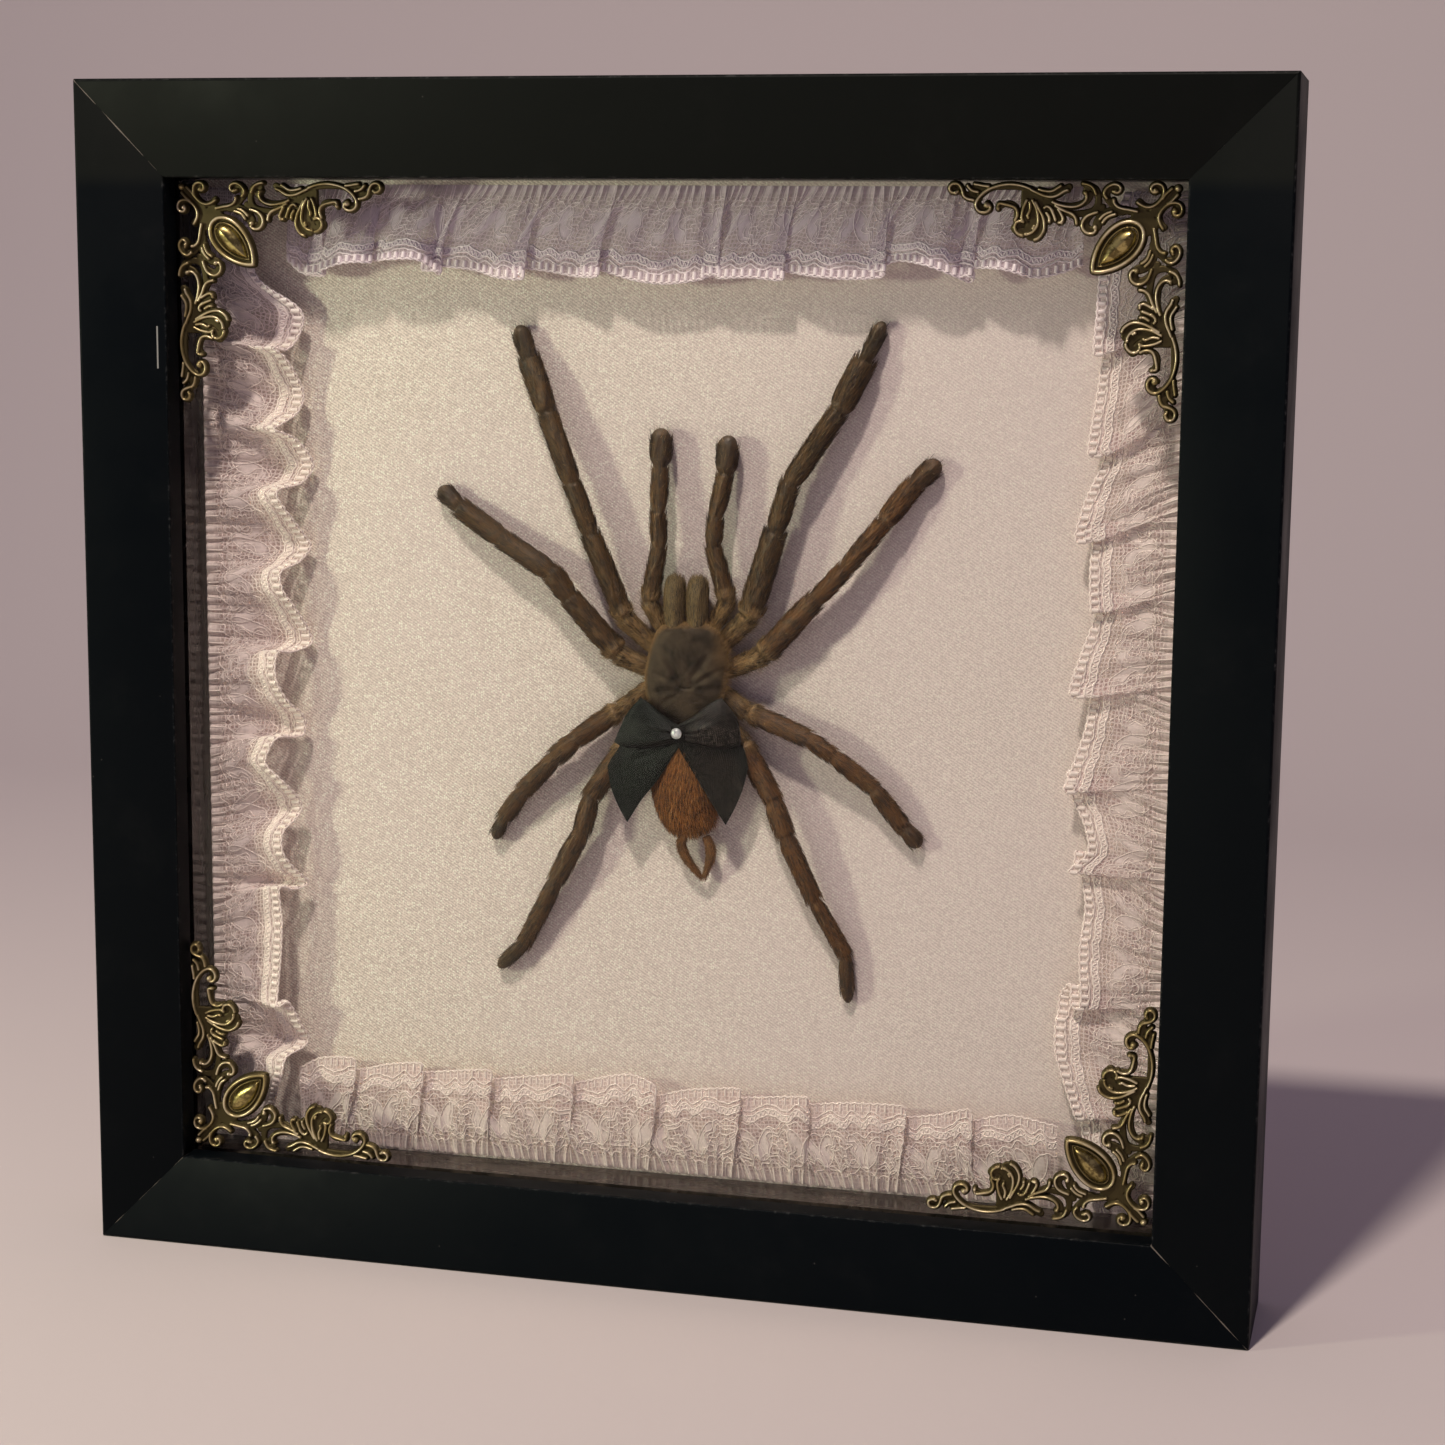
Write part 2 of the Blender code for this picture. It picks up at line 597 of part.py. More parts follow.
SHIELD_X, SHIELD_Z = 4.3, 5.2  # the middle of the carapace
SHIELD_LONG, SHIELD_WIDE = 9.9, 8.2  # its half length and half width
# Levels of the front body: height above the satin, share of the carapace's outline.
BODY_LEVELS = (
    (0.3, 0.3), (0.9, 0.5), (4.6, 0.62), (5.2, 0.93), (5.8, 1.0), (6.7, 0.93),
    (7.3, 0.72), (7.7, 0.42), (7.5, 0.12),
)
GROOVE_LEVELS = (6, 7)
RIM_LEVEL = 4
# Stations of the round bodies: across, up, height above the satin, half width and half height.
# Both chelicerae share one row of stations, so those have no value across.
CHELICERA = (
    (12.6, 4.2, 1.5, 1.9),
    (15.4, 4.7, 1.85, 2.5),
    (19.0, 5.0, 1.85, 2.7),
    (22.0, 4.7, 1.75, 2.5),
    (23.4, 4.3, 1.2, 1.8),
    (23.9, 4.1, 0.5, 0.8),
)
ABDOMEN = (
    (4.2, -5.4, 3.0, 1.0, 0.9),
    (4.1, -6.6, 3.2, 3.2, 2.2),
    (3.9, -9.6, 3.7, 5.6, 3.2),
    (3.7, -14.0, 4.0, 6.8, 3.6),
    (3.8, -19.0, 3.9, 7.0, 3.5),
    (4.4, -23.5, 3.5, 6.0, 3.1),
    (5.2, -26.6, 3.0, 4.3, 2.5),
    (5.6, -28.0, 2.8, 2.6, 1.8),
)
SPINNERET_LEFT = (
    (3.4, -28.9, 3.4, 0.7, 0.7),
    (2.9, -30.6, 3.3, 1.0, 0.9),
    (4.0, -33.6, 3.0, 0.95, 0.85),
    (6.3, -37.2, 2.4, 0.45, 0.45),
)
SPINNERET_RIGHT = (
    (8.1, -28.6, 3.4, 0.8, 0.7),
    (8.9, -31.0, 3.3, 1.05, 0.9),
    (8.8, -33.4, 3.0, 0.95, 0.85),
    (7.5, -37.0, 2.4, 0.45, 0.45),
)


def shield_outline(share, sides=24):
    """The pear-shaped outline of the carapace, narrower at the front."""
    outline = []
    for i in range(sides):
        a = 2 * math.pi * i / sides
        up = math.copysign(abs(math.sin(a)) ** 0.85, math.sin(a))
        pinch = 1 - 0.3 * max(0.0, up) ** 1.5
        across = math.copysign(abs(math.cos(a)) ** 0.8, math.cos(a)) * pinch
        outline.append((SHIELD_X + across * SHIELD_WIDE * share, SHIELD_Z + up * SHIELD_LONG * share))
    return outline


def make_front_body(name, grow=0.0):
    """The carapace over the sternum, with grooves that radiate from its middle."""
    rings = []
    for level, (height, share) in enumerate(BODY_LEVELS):
        wider = share + grow / SHIELD_WIDE
        height += grow if level >= RIM_LEVEL else -grow
        ring = []
        for i, (x, z) in enumerate(shield_outline(wider)):
            dip = 0.3 if level in GROOVE_LEVELS and i % 4 == 2 else 0.0
            ring.append(above_satin(x, z, height - dip))
        rings.append(ring)
    points, faces = loft(rings)
    return new_object(name, points, faces, DARK_SHELL, smooth=True)


def make_turned(name, stations, sides, finish):
    """A body of round sections through its stations."""
    spots = [above_satin(*station[:3]) for station in stations]
    rings = []
    for i, station in enumerate(stations):
        ahead = spots[min(i + 1, len(spots) - 1)]
        behind = spots[max(i - 1, 0)]
        rings.append(ring_round(spots[i], (ahead - behind).normalized(), station[3], station[4], sides))
    points, faces = loft(rings)
    return new_object(name, points, faces, finish, smooth=True)


def make_spider():
    make_front_body("front_body")
    clearance = make_front_body("clearance", GAP)
    limbs = [make_limb(name, joints, halves, BROWN_HAIR) for name, (joints, halves) in LEGS.items()]
    for side, across in (("left", 2.15), ("right", 6.25)):
        stations = [(across, *station) for station in CHELICERA]
        limbs.append(make_turned("chelicera_" + side, stations, 10, DARK_SHELL))
    for limb in limbs:
        use_boolean(limb, clearance, "DIFFERENCE")
    bpy.data.objects.remove(clearance)
    make_turned("abdomen", ABDOMEN, 14, ORANGE_HAIR)
    make_turned("spinneret_left", SPINNERET_LEFT, 7, ORANGE_HAIR)
    make_turned("spinneret_right", SPINNERET_RIGHT, 7, ORANGE_HAIR)


# ---------------------------------------------------------------- the bow
# Outlines of one loop and one tail on each side, in millimetres from the frame's centre.
BOW_KNOT = (3.3, -7.0)
STONE_LEVELS = ((9.2, 0.8), (9.45, 1.2), (9.6, 1.15), (9.85, 0.65))  # height and radius
LEFT_LOOP = (
    (3.8, -5.4), (0.2, -3.6), (-4.4, -0.3), (-6.9, -3.4), (-8.5, -6.8), (-9.8, -9.7),
    (-8.4, -10.6), (-4.0, -10.3), (0.4, -9.6), (3.8, -8.8),
)
RIGHT_LOOP = (
    (2.8, -5.4), (6.4, -3.4), (12.2, 0.5), (14.6, -2.6), (15.7, -5.8), (16.0, -9.0),
    (12.4, -9.7), (7.6, -9.3), (2.8, -8.8),
)
LEFT_TAIL = (
    (4.2, -7.6), (-3.0, -8.4), (-9.4, -9.4), (-11.5, -15.0), (-10.6, -19.6), (-7.5, -26.0),
    (-4.4, -21.2), (-0.6, -16.4), (2.2, -11.4),
)
RIGHT_TAIL = (
    (2.4, -7.6), (9.0, -8.0), (15.6, -8.6), (17.3, -13.6), (15.9, -19.0), (12.9, -25.4),
    (9.6, -20.6), (6.4, -15.2), (3.6, -11.2),
)


def make_ribbon_plate(name, outline, low, edge, top):
    """A flat ribbon form: low is its back, edge the height at its rim, top that at its middle."""
    middle_x = sum(x for x, z in outline) / len(outline)
    middle_z = sum(z for x, z in outline) / len(outline)
    keep = 0.55
    inner = [(middle_x + (x - middle_x) * keep, middle_z + (z - middle_z) * keep) for x, z in outline]
    rings = [
        [above_satin(x, z, low) for x, z in outline],
        [above_satin(x, z, edge) for x, z in outline],
        [above_satin(x, z, top) for x, z in inner],
    ]
    points, faces = loft(rings)
    return new_object(name, points, faces, BLACK_RIBBON)


def make_bow():
    bow = make_ribbon_plate("ribbon_bow", LEFT_LOOP, 8.1, 8.8, 9.5)
    pieces = (
        make_ribbon_plate("right_loop", RIGHT_LOOP, 8.05, 8.75, 9.45),
        make_ribbon_plate("left_tail", LEFT_TAIL, 7.85, 8.45, 8.55),
        make_ribbon_plate("right_tail", RIGHT_TAIL, 7.9, 8.5, 8.6),
    )
    for piece in pieces:
        use_boolean(bow, piece, "UNION")
        bpy.data.objects.remove(piece)


def make_stone():
    """The rhinestone in its cup, standing on the knot."""
    knot_x, knot_z = BOW_KNOT
    facets = 10
    turn = [2 * math.pi * i / facets for i in range(facets)]
    rings = []
    for height, radius in STONE_LEVELS:
        spots = [(knot_x + radius * math.cos(a), knot_z + radius * math.sin(a)) for a in turn]
        rings.append([above_satin(x, z, height) for x, z in spots])
    points, faces = loft(rings)
    new_object("rhinestone", points, faces, WHITE_STONE)


clear_scene()
make_rails()
make_sheets()
make_back_hardware()
make_corners()
make_lace()
make_spider()
make_bow()
make_stone()
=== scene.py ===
import math
import random

import bmesh
import bpy
import numpy as np
from mathutils import Matrix, Vector
from mathutils.geometry import tessellate_polygon


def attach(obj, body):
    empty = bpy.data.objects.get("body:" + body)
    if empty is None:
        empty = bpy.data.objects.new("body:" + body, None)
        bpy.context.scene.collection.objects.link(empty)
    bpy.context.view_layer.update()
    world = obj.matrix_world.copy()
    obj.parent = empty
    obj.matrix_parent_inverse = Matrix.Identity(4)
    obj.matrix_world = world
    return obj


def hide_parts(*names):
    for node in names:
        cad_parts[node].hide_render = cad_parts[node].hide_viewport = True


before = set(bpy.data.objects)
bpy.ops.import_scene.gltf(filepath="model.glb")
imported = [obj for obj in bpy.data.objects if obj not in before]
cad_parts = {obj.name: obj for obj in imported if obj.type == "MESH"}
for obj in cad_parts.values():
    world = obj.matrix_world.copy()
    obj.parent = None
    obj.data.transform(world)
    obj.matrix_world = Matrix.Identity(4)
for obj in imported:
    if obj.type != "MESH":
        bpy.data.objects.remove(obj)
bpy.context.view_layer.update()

# ---------------------------------------------------------------- camera, floor and lights
# The specimen is seen from a little above and to the right, and stands on a pale studio floor.
# A small lamp rakes the satin from the left, and a larger warm one lights it from above.


def new_object(name, data):
    made = bpy.data.objects.new(name, data)
    bpy.context.scene.collection.objects.link(made)
    return made


def mesh_object(name, points, faces, material, closed=False, sharp=None, smooth=True):
    """An object at the origin, in metres; a closed one's faces are turned to point out of it."""
    mesh = bpy.data.meshes.new(name)
    mesh.from_pydata([tuple(p) for p in points], [], [tuple(f) for f in faces])
    mesh.update()
    if smooth:
        mesh.shade_smooth()
    if closed:
        shape = bmesh.new()
        shape.from_mesh(mesh)
        bmesh.ops.recalc_face_normals(shape, faces=shape.faces)
        if shape.calc_volume(signed=True) < 0:
            bmesh.ops.reverse_faces(shape, faces=shape.faces)
        shape.to_mesh(mesh)
        shape.free()
    if sharp is not None:
        mesh.set_sharp_from_angle(angle=math.radians(sharp))
    mesh.materials.append(material)
    return new_object(name, mesh)


view = bpy.data.cameras.new("view")
view.lens, view.sensor_width, view.clip_start = 70.97, 36.0, 0.01
camera = new_object("view", view)
look = Vector((-0.24240, 0.95702, -0.15924)).normalized()
right = look.cross(Vector((-0.04874, 0.15191, 0.98719))).normalized()
stand = Matrix((right, right.cross(look), -look)).transposed().to_4x4()
stand.translation = Vector((0.14879, -0.54332, 0.20507))
camera.matrix_world = stand
bpy.context.scene.camera = camera

SWEEP_STEPS, FLOOR_HALF = 24, 2.5
sweep = [(-1.6, 0.0), (0.5, 0.0)]
for i in range(1, SWEEP_STEPS + 1):
    turn = math.pi / 2 * i / SWEEP_STEPS
    sweep.append((0.5 + 0.5 * math.sin(turn), 0.5 - 0.5 * math.cos(turn)))
sweep.append((1.0, 2.2))
floor_points = [(x, y, z) for y, z in sweep for x in (-FLOOR_HALF, FLOOR_HALF)]
floor_faces = [(2 * i, 2 * i + 1, 2 * i + 3, 2 * i + 2) for i in range(len(sweep) - 1)]
paper = bpy.data.materials.new("studio_paper")
paper.use_nodes = True
plain = paper.node_tree.nodes["Principled BSDF"].inputs
plain["Base Color"].default_value, plain["Roughness"].default_value = (0.65, 0.585, 0.58, 1.0), 0.9
floor = mesh_object("studio_floor", floor_points, floor_faces, paper)

middle = Vector((0.0, 0.0, 0.12))
for name, offset, size, power, color in (
    ("lamp_left", (-0.525, -0.38, 0.085), 0.065, 1.78, (0.89, 0.93, 0.66)),
    ("lamp_above", (-0.12, -0.8, 1.30), 0.11, 16.6, (1.0, 0.875, 0.775)),
):
    light = bpy.data.lights.new(name, "AREA")
    light.shape, light.size, light.energy, light.color = "DISK", size, power, color
    lamp = new_object(name, light)
    lamp.location = middle + Vector(offset)
    lamp.rotation_euler = (middle - lamp.location).to_track_quat("-Z", "Y").to_euler()
world = bpy.data.worlds.new("studio")
world.use_nodes = True
sky = world.node_tree.nodes["Background"].inputs
sky["Color"].default_value, sky["Strength"].default_value = (0.83, 0.70, 1.06, 1.0), 0.166
bpy.context.scene.world = world
bpy.context.scene.view_settings.view_transform = "Standard"

# ---------------------------------------------------------------- the four rails
# Moulded wood fibre wrapped in matte black foil, mitred at the corners and pinned. The front face
# is flat with softly broken edges, and the joints have worn to thin pale lines.
MM = 0.001
SIDE, DEPTH, FACE, LIP_DEPTH, LIP_COVER = 240.0, 28.0, 19.2, 5.5, 5.0
OPENING = SIDE / 2 - FACE
SCRATCH_X, SCRATCH_UP, SCRATCH_HALF_WIDE, SCRATCH_HALF_LONG = -0.10275, 0.0673, 0.00016, 0.0042


class Nodes:
    """Short ways to build a node tree, where a value is a number, a tuple or a socket."""

    def __init__(self, tree):
        self.tree = tree

    def feed(self, target, value):
        if isinstance(value, bpy.types.NodeSocket):
            self.tree.links.new(value, target)
        else:
            target.default_value = (*value, 1.0) if target.type == "RGBA" else value

    def new(self, kind, inputs=(), **settings):
        """A node with its settings, and its inputs fed by name or number."""
        node = self.tree.nodes.new(kind)
        for label, value in settings.items():
            setattr(node, label, value)
        for label, value in dict(inputs).items():
            self.feed(node.inputs[label], value)
        return node

    def out(self, kind, inputs=(), **settings):
        return self.new(kind, inputs, **settings).outputs[0]

    def maths(self, operation, *values):
        return self.out("ShaderNodeMath", enumerate(values), operation=operation)

    def product(self, first, *others):
        for value in others:
            first = self.maths("MULTIPLY", first, value)
        return first

    def step(self, value, low, high, out_low=0.0, out_high=1.0):
        """The value remapped from low..high to out_low..out_high with soft ends."""
        ends = {"From Min": low, "From Max": high, "To Min": out_low, "To Max": out_high}
        return self.out("ShaderNodeMapRange", {"Value": value, **ends}, interpolation_type="SMOOTHSTEP")

    def mix(self, factor, first, second):
        """A colour between two others."""
        return self.new("ShaderNodeMix", {0: factor, 6: first, 7: second}, data_type="RGBA").outputs[2]

    @property
    def where(self):
        return self.new("ShaderNodeTexCoord").outputs["Object"]

    def parts(self, vector):
        return self.new("ShaderNodeSeparateXYZ", {0: vector}).outputs

    def noise(self, scale, detail=3.0, rough=0.55, stretch=None, vector=None):
        """Noise from 0 to 1 with so many features a metre; stretch scales the three axes."""
        vector = self.where if vector is None else vector
        if stretch is not None:
            vector = self.out("ShaderNodeMapping", {"Vector": vector, "Scale": stretch})
        inputs = {"Vector": vector, "Scale": scale, "Detail": detail, "Roughness": rough}
        return self.out("ShaderNodeTexNoise", inputs)

    def cells(self, scale, vector=None, **inputs):
        """The outputs of a cell pattern, by distance and colour."""
        vector = self.where if vector is None else vector
        return self.new("ShaderNodeTexVoronoi", {"Vector": vector, "Scale": scale, **inputs}).outputs

    def attribute(self, label):
        return self.new("ShaderNodeAttribute", attribute_name=label).outputs["Fac"]


class Finish(Nodes):
    """A new material and its shader."""

    def __init__(self, name, roughness=0.5, metallic=0.0):
        self.material = bpy.data.materials.new(name)
        self.material.use_nodes = True
        super().__init__(self.material.node_tree)
        self.shader = self.tree.nodes["Principled BSDF"]
        self.set("Roughness", roughness)
        self.set("Metallic", metallic)

    def set(self, label, value):
        self.feed(self.shader.inputs[label], value)

    def bump(self, height, distance, strength):
        inputs = {"Height": height, "Distance": distance, "Strength": strength}
        self.set("Normal", self.out("ShaderNodeBump", inputs))


def place(across, depth, up):
    """A point in metres from millimetres across, back from the front face, and up, from the centre."""
    return Vector((across * MM, (depth - DEPTH / 2) * MM, (up + SIDE / 2) * MM))


def quarter(centre, radius, start, steps):
    turn = [math.radians(start + 90 * i / steps) for i in range(steps + 1)]
    return [(centre[0] + radius * math.cos(a), centre[1] + radius * math.sin(a)) for a in turn]


def joined_rings(rings):
    """Points and faces of a closed body through equal rings of points that follow each other."""
    size = len(rings[0])
    faces = []
    for row in range(len(rings) - 1):
        for i in range(size):
            a, b = row * size + i, row * size + (i + 1) % size
            faces.append((a, b, b + size, a + size))
    last = (len(rings) - 1) * size
    faces += [tuple(reversed(range(size))), tuple(range(last, last + size))]
    return [p for ring in rings for p in ring], faces


# Dust: small pale specks, a few to the square centimetre, and a thin uneven film between them.
dust_tree = bpy.data.node_groups.new("dust", "ShaderNodeTree")
sockets = (("Vector", "INPUT", "Vector"), ("Specks", "INPUT", "Float"), ("Mask", "OUTPUT", "Float"))
for label, way, kind in sockets:
    dust_tree.interface.new_socket(label, in_out=way, socket_type="NodeSocket" + kind)
dust = Nodes(dust_tree)
given = dust.new("NodeGroupInput").outputs
cells = dust.cells(520.0, given["Vector"])
speck = dust.step(cells["Distance"], 0.10, 0.04)
rare = dust.maths("LESS_THAN", dust.parts(cells["Color"])[0], given["Specks"])
film = dust.step(dust.noise(60.0, 5.0, 0.7, vector=given["Vector"]), 0.5, 0.85, 0.0, 0.05)
dust.new("NodeGroupOutput", {"Mask": dust.maths("MAXIMUM", dust.product(speck, rare), film)})


def dust_on(finish, specks):
    inputs = {"Vector": finish.where, "Specks": specks}
    return finish.new("ShaderNodeGroup", inputs, node_tree=dust_tree).outputs["Mask"]


RAIL_SECTION = (
    quarter((0.7, 0.7), 0.7, 180, 5)
    + quarter((FACE - 0.35, 0.35), 0.35, 270, 4)
    + [(FACE, LIP_DEPTH), (FACE - LIP_COVER, LIP_DEPTH), (FACE - LIP_COVER, DEPTH)]
    + quarter((0.4, DEPTH - 0.4), 0.4, 90, 3)
)
RAIL_MIDDLE_IN, RAIL_MIDDLE_DEEP = 9.0, 3.0


def rail_ring(end, turns, back, inset):
    """The rail's section at one mitre, drawn back from the joint and in from the rail's surface."""
    angle = -turns * math.pi / 2
    ring = []
    for inwards, depth in RAIL_SECTION:
        reach = math.hypot(inwards - RAIL_MIDDLE_IN, depth - RAIL_MIDDLE_DEEP)
        inset_in = inwards - inset * (inwards - RAIL_MIDDLE_IN) / reach
        inset_deep = depth - inset * (depth - RAIL_MIDDLE_DEEP) / reach
        along, up = end * (SIDE / 2 - inset_in - back), inset_in - SIDE / 2
        across = along * math.cos(angle) + up * math.sin(angle)
        ring.append(place(across, inset_deep, -along * math.sin(angle) + up * math.cos(angle)))
    return ring


foil = Finish("black_foil")
x, y, z = foil.parts(foil.where)
up = foil.maths("SUBTRACT", z, SIDE / 2 * MM)
flat_x, flat_z = foil.maths("ABSOLUTE", x), foil.maths("ABSOLUTE", up)
ragged, along_joint = foil.noise(900.0, 4.0, 0.7), foil.noise(110.0, 2.0, 0.5)
# The joints: thin ragged lines along both diagonals.
to_mitre = foil.maths("ABSOLUTE", foil.maths("SUBTRACT", flat_x, flat_z))
joint_width = foil.step(along_joint, 0.35, 0.7, 0.00003, 0.00026)
joint = foil.maths("LESS_THAN", foil.maths("ADD", to_mitre, foil.product(ragged, 0.00016)), joint_width)
# Rubbed places: along the front's outer and inner edges only.
far = foil.maths("MAXIMUM", flat_x, flat_z)
to_outer = foil.maths("ABSOLUTE", foil.maths("SUBTRACT", far, (SIDE / 2 - 0.25) * MM))
to_inner = foil.maths("ABSOLUTE", foil.maths("SUBTRACT", far, (OPENING + 0.15) * MM))
near_edge = foil.maths("MINIMUM", to_outer, to_inner)
at_front = foil.maths("LESS_THAN", y, (1.2 - DEPTH / 2) * MM)
rubbed = foil.product(foil.step(near_edge, 0.00035, 0.0), foil.step(ragged, 0.5, 0.75), at_front)
# One upright scratch, 8.4 mm long, high on the left rail.
to_scratch = foil.maths("ABSOLUTE", foil.maths("ADD", x, -SCRATCH_X))
past_scratch = foil.maths("ABSOLUTE", foil.maths("SUBTRACT", up, SCRATCH_UP))
scratch = foil.product(
    foil.maths("LESS_THAN", to_scratch, SCRATCH_HALF_WIDE),
    foil.maths("LESS_THAN", past_scratch, SCRATCH_HALF_LONG),
    foil.maths("LESS_THAN", x, 0.0), foil.step(along_joint, 0.3, 0.5, 0.25, 0.8),
)
# Painted light: the top rail's face is a lighter grey, as if lit from above, and the other three rails a
# darker bluish black.
color = foil.mix(foil.step(up, 0.098, 0.102), (0.002, 0.0033, 0.0045), (0.0066, 0.0078, 0.0070))
color = foil.mix(foil.product(dust_on(foil, 0.018), 0.4), color, (0.12, 0.115, 0.11))
color = foil.mix(foil.product(rubbed, 0.35), color, (0.13, 0.13, 0.13))
color = foil.mix(foil.product(joint, 0.75), color, (0.24, 0.21, 0.18))
foil.set("Base Color", foil.mix(scratch, color, (0.33, 0.33, 0.32)))
foil.set("Roughness", foil.step(foil.noise(45.0, 4.0, 0.6), 0.3, 0.7, 0.40, 0.54))
foil.set("Specular IOR Level", 0.05)
foil.bump(foil.noise(2600.0, 2.0, 0.6), 0.00002, 0.5)

BROKEN_EDGE, FULL_SECTION = (0.012, 0.12), (0.10, 0.0)
for turns, side in enumerate(("bottom", "right", "top", "left")):
    rings = [rail_ring(-1, turns, *BROKEN_EDGE), rail_ring(-1, turns, *FULL_SECTION)]
    rings += [rail_ring(1, turns, *FULL_SECTION), rail_ring(1, turns, *BROKEN_EDGE)]
    rail = mesh_object("rail_" + side, *joined_rings(rings), foil.material, closed=True, sharp=35)
    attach(rail, "root")
    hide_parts("frame_rail_" + side)

# ---------------------------------------------------------------- spacer strips behind the glass
# Black strips with a glossy film on all four inner walls. They hold the glass off the satin, dust lies
# on them, and a mottled brown reflection is painted along the lower one.


def dress(node, finish):
    """Gives a carried-over solid its finish."""
    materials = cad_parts[node].data.materials
    materials.clear()
    materials.append(finish.material)


gloss = Finish("glossy_strip")
streak = gloss.noise(60.0, 4.0, 0.6, (1.0, 5.0, 1.0))
low = gloss.step(gloss.parts(gloss.where)[2], 0.0235, 0.0185)
# Painted reflection: a mottled warm brown along the lower strip.
painted_low_reflection = gloss.product(low, gloss.step(gloss.noise(240.0, 4.0, 0.7), 0.35, 0.7, 0.1, 0.75))
color = gloss.mix(painted_low_reflection, (0.012, 0.010, 0.009), (0.085, 0.062, 0.050))
gloss.set("Base Color", gloss.mix(gloss.product(dust_on(gloss, 0.03), 0.6), color, (0.22, 0.19, 0.17)))
gloss.set("Roughness", gloss.step(streak, 0.3, 0.75, 0.16, 0.38))
gloss.bump(streak, 0.00015, 0.35)
for side in ("top", "bottom", "left", "right"):
    dress("spacer_" + side, gloss)

# ---------------------------------------------------------------- glass
# One pane of clear picture glass, held behind the lip of the rails. Light for shadows and for
# soft bounces passes straight through it.
glass = Finish("picture_glass", 0.0)
glass.set("Base Color", (0.985, 0.995, 0.99))
glass.set("IOR", 1.16)
glass.set("Transmission Weight", 1.0)
through = glass.out("ShaderNodeBsdfTransparent", {"Color": (0.94, 0.95, 0.945)})
path = glass.new("ShaderNodeLightPath").outputs
unseen = glass.maths("MAXIMUM", path["Is Shadow Ray"], path["Is Diffuse Ray"])
either = glass.out("ShaderNodeMixShader", {0: unseen, 1: glass.shader.outputs[0], 2: through})
glass.feed(glass.tree.nodes["Material Output"].inputs["Surface"], either)
dress("glass_pane", glass)

# ---------------------------------------------------------------- boards and back hardware
# Grey card carries the satin and brown fibre board closes the back. Bent steel points hold it in,
# and a sawtooth plate on two nails hangs the frame.
card = Finish("grey_card", 0.9)
fibres = card.noise(700.0, 4.0, 0.7)
card.set("Base Color", card.mix(fibres, (0.34, 0.31, 0.27), (0.50, 0.46, 0.41)))
card.bump(fibres, 0.0001, 0.5)

board = Finish("fibre_board", 0.8)
fine = board.noise(900.0, 5.0, 0.75)
blotch = board.step(board.noise(35.0, 3.0, 0.5), 0.35, 0.7, 0.0, 0.3)
color = board.mix(fine, (0.15, 0.085, 0.045), (0.36, 0.24, 0.14))
board.set("Base Color", board.mix(blotch, color, (0.30, 0.21, 0.14)))
board.bump(fine, 0.00012, 0.6)

steel = Finish("plated_steel", metallic=1.0)
brushed = steel.noise(300.0, 3.0, 0.6, (1.0, 1.0, 6.0))
steel.set("Base Color", steel.mix(brushed, (0.42, 0.42, 0.40), (0.66, 0.65, 0.62)))
steel.set("Roughness", steel.step(brushed, 0.3, 0.7, 0.26, 0.46))
steel.bump(brushed, 0.00003, 0.4)

dress("mount_board", card)
dress("back_panel", board)
for node in ("plate", "nail_left", "nail_right"):
    dress("hanger_" + node, steel)
for side in ("top", "bottom", "left", "right"):
    dress("point_" + side, steel)

# ---------------------------------------------------------------- satin
# Pale satin with a fine slanted twill line, drawn over the card and glued behind it. Its sparkle
# where the left lamp rakes it is painted into its colour, and faint slack lines run across it.
SATIN_DEPTH, SATIN_HALF, SATIN_STEPS, SATIN_TURN = 17.5, 105.3, 150, 0.36
TWILL = 0.00062


def grid(long, wide):
    """The faces of a grid with so many steps each way, and its border's points in order."""
    row = wide + 1
    faces = [(a, a + 1, a + row + 1, a + row) for i in range(long) for a in range(i * row, i * row + wide)]
    border = list(range(row)) + [i * row + wide for i in range(1, long + 1)]
    border += [long * row + j for j in range(wide - 1, -1, -1)] + [i * row for i in range(long - 1, 0, -1)]
    return faces, border


satin_points = []
rows = [SATIN_HALF * (2 * i / SATIN_STEPS - 1) for i in range(SATIN_STEPS + 1)]
for z in rows:
    for x in rows:
        from_edge = min(1.0, (SATIN_HALF - max(abs(x), abs(z))) / 12)
        slack = 0.10 * math.sin(x / 19 + z / 41 + 1.0) + 0.07 * math.sin(z / 13 - x / 57)
        slack += 0.05 * math.sin((x + 1.7 * z) / 7.5) * math.sin(x / 31)
        satin_points.append(place(x, SATIN_DEPTH + 0.02 - 0.1 * from_edge * (1 + slack * 4), z))
satin_faces, rim = grid(SATIN_STEPS, SATIN_STEPS)
first = len(satin_points)
turned_y = place(0, SATIN_DEPTH + SATIN_TURN, 0).y
satin_points += [Vector((satin_points[i].x, turned_y, satin_points[i].z)) for i in rim]
for i, here in enumerate(rim):
    j = (i + 1) % len(rim)
    satin_faces.append((here, first + i, first + j, rim[j]))

silk = Finish("pale_satin")
x, y, z = silk.parts(silk.where)
slant = silk.maths("ADD", silk.product(x, 0.62), z)
wander = silk.noise(300.0, 3.0, 0.6)
line = silk.maths("ADD", silk.product(slant, 2 * math.pi / TWILL), silk.product(wander, 5.0))
twill = silk.maths("MULTIPLY_ADD", silk.maths("SINE", line), 0.5, 0.5)
yarn = silk.noise(2500.0, 2.0, 0.8, (1.0, 1.0, 1.35))
thread = silk.maths("ADD", silk.product(twill, 0.17), silk.product(yarn, 0.83))
color = silk.mix(silk.step(thread, 0.36, 0.63), (0.49, 0.402, 0.35), (0.92, 0.815, 0.73))
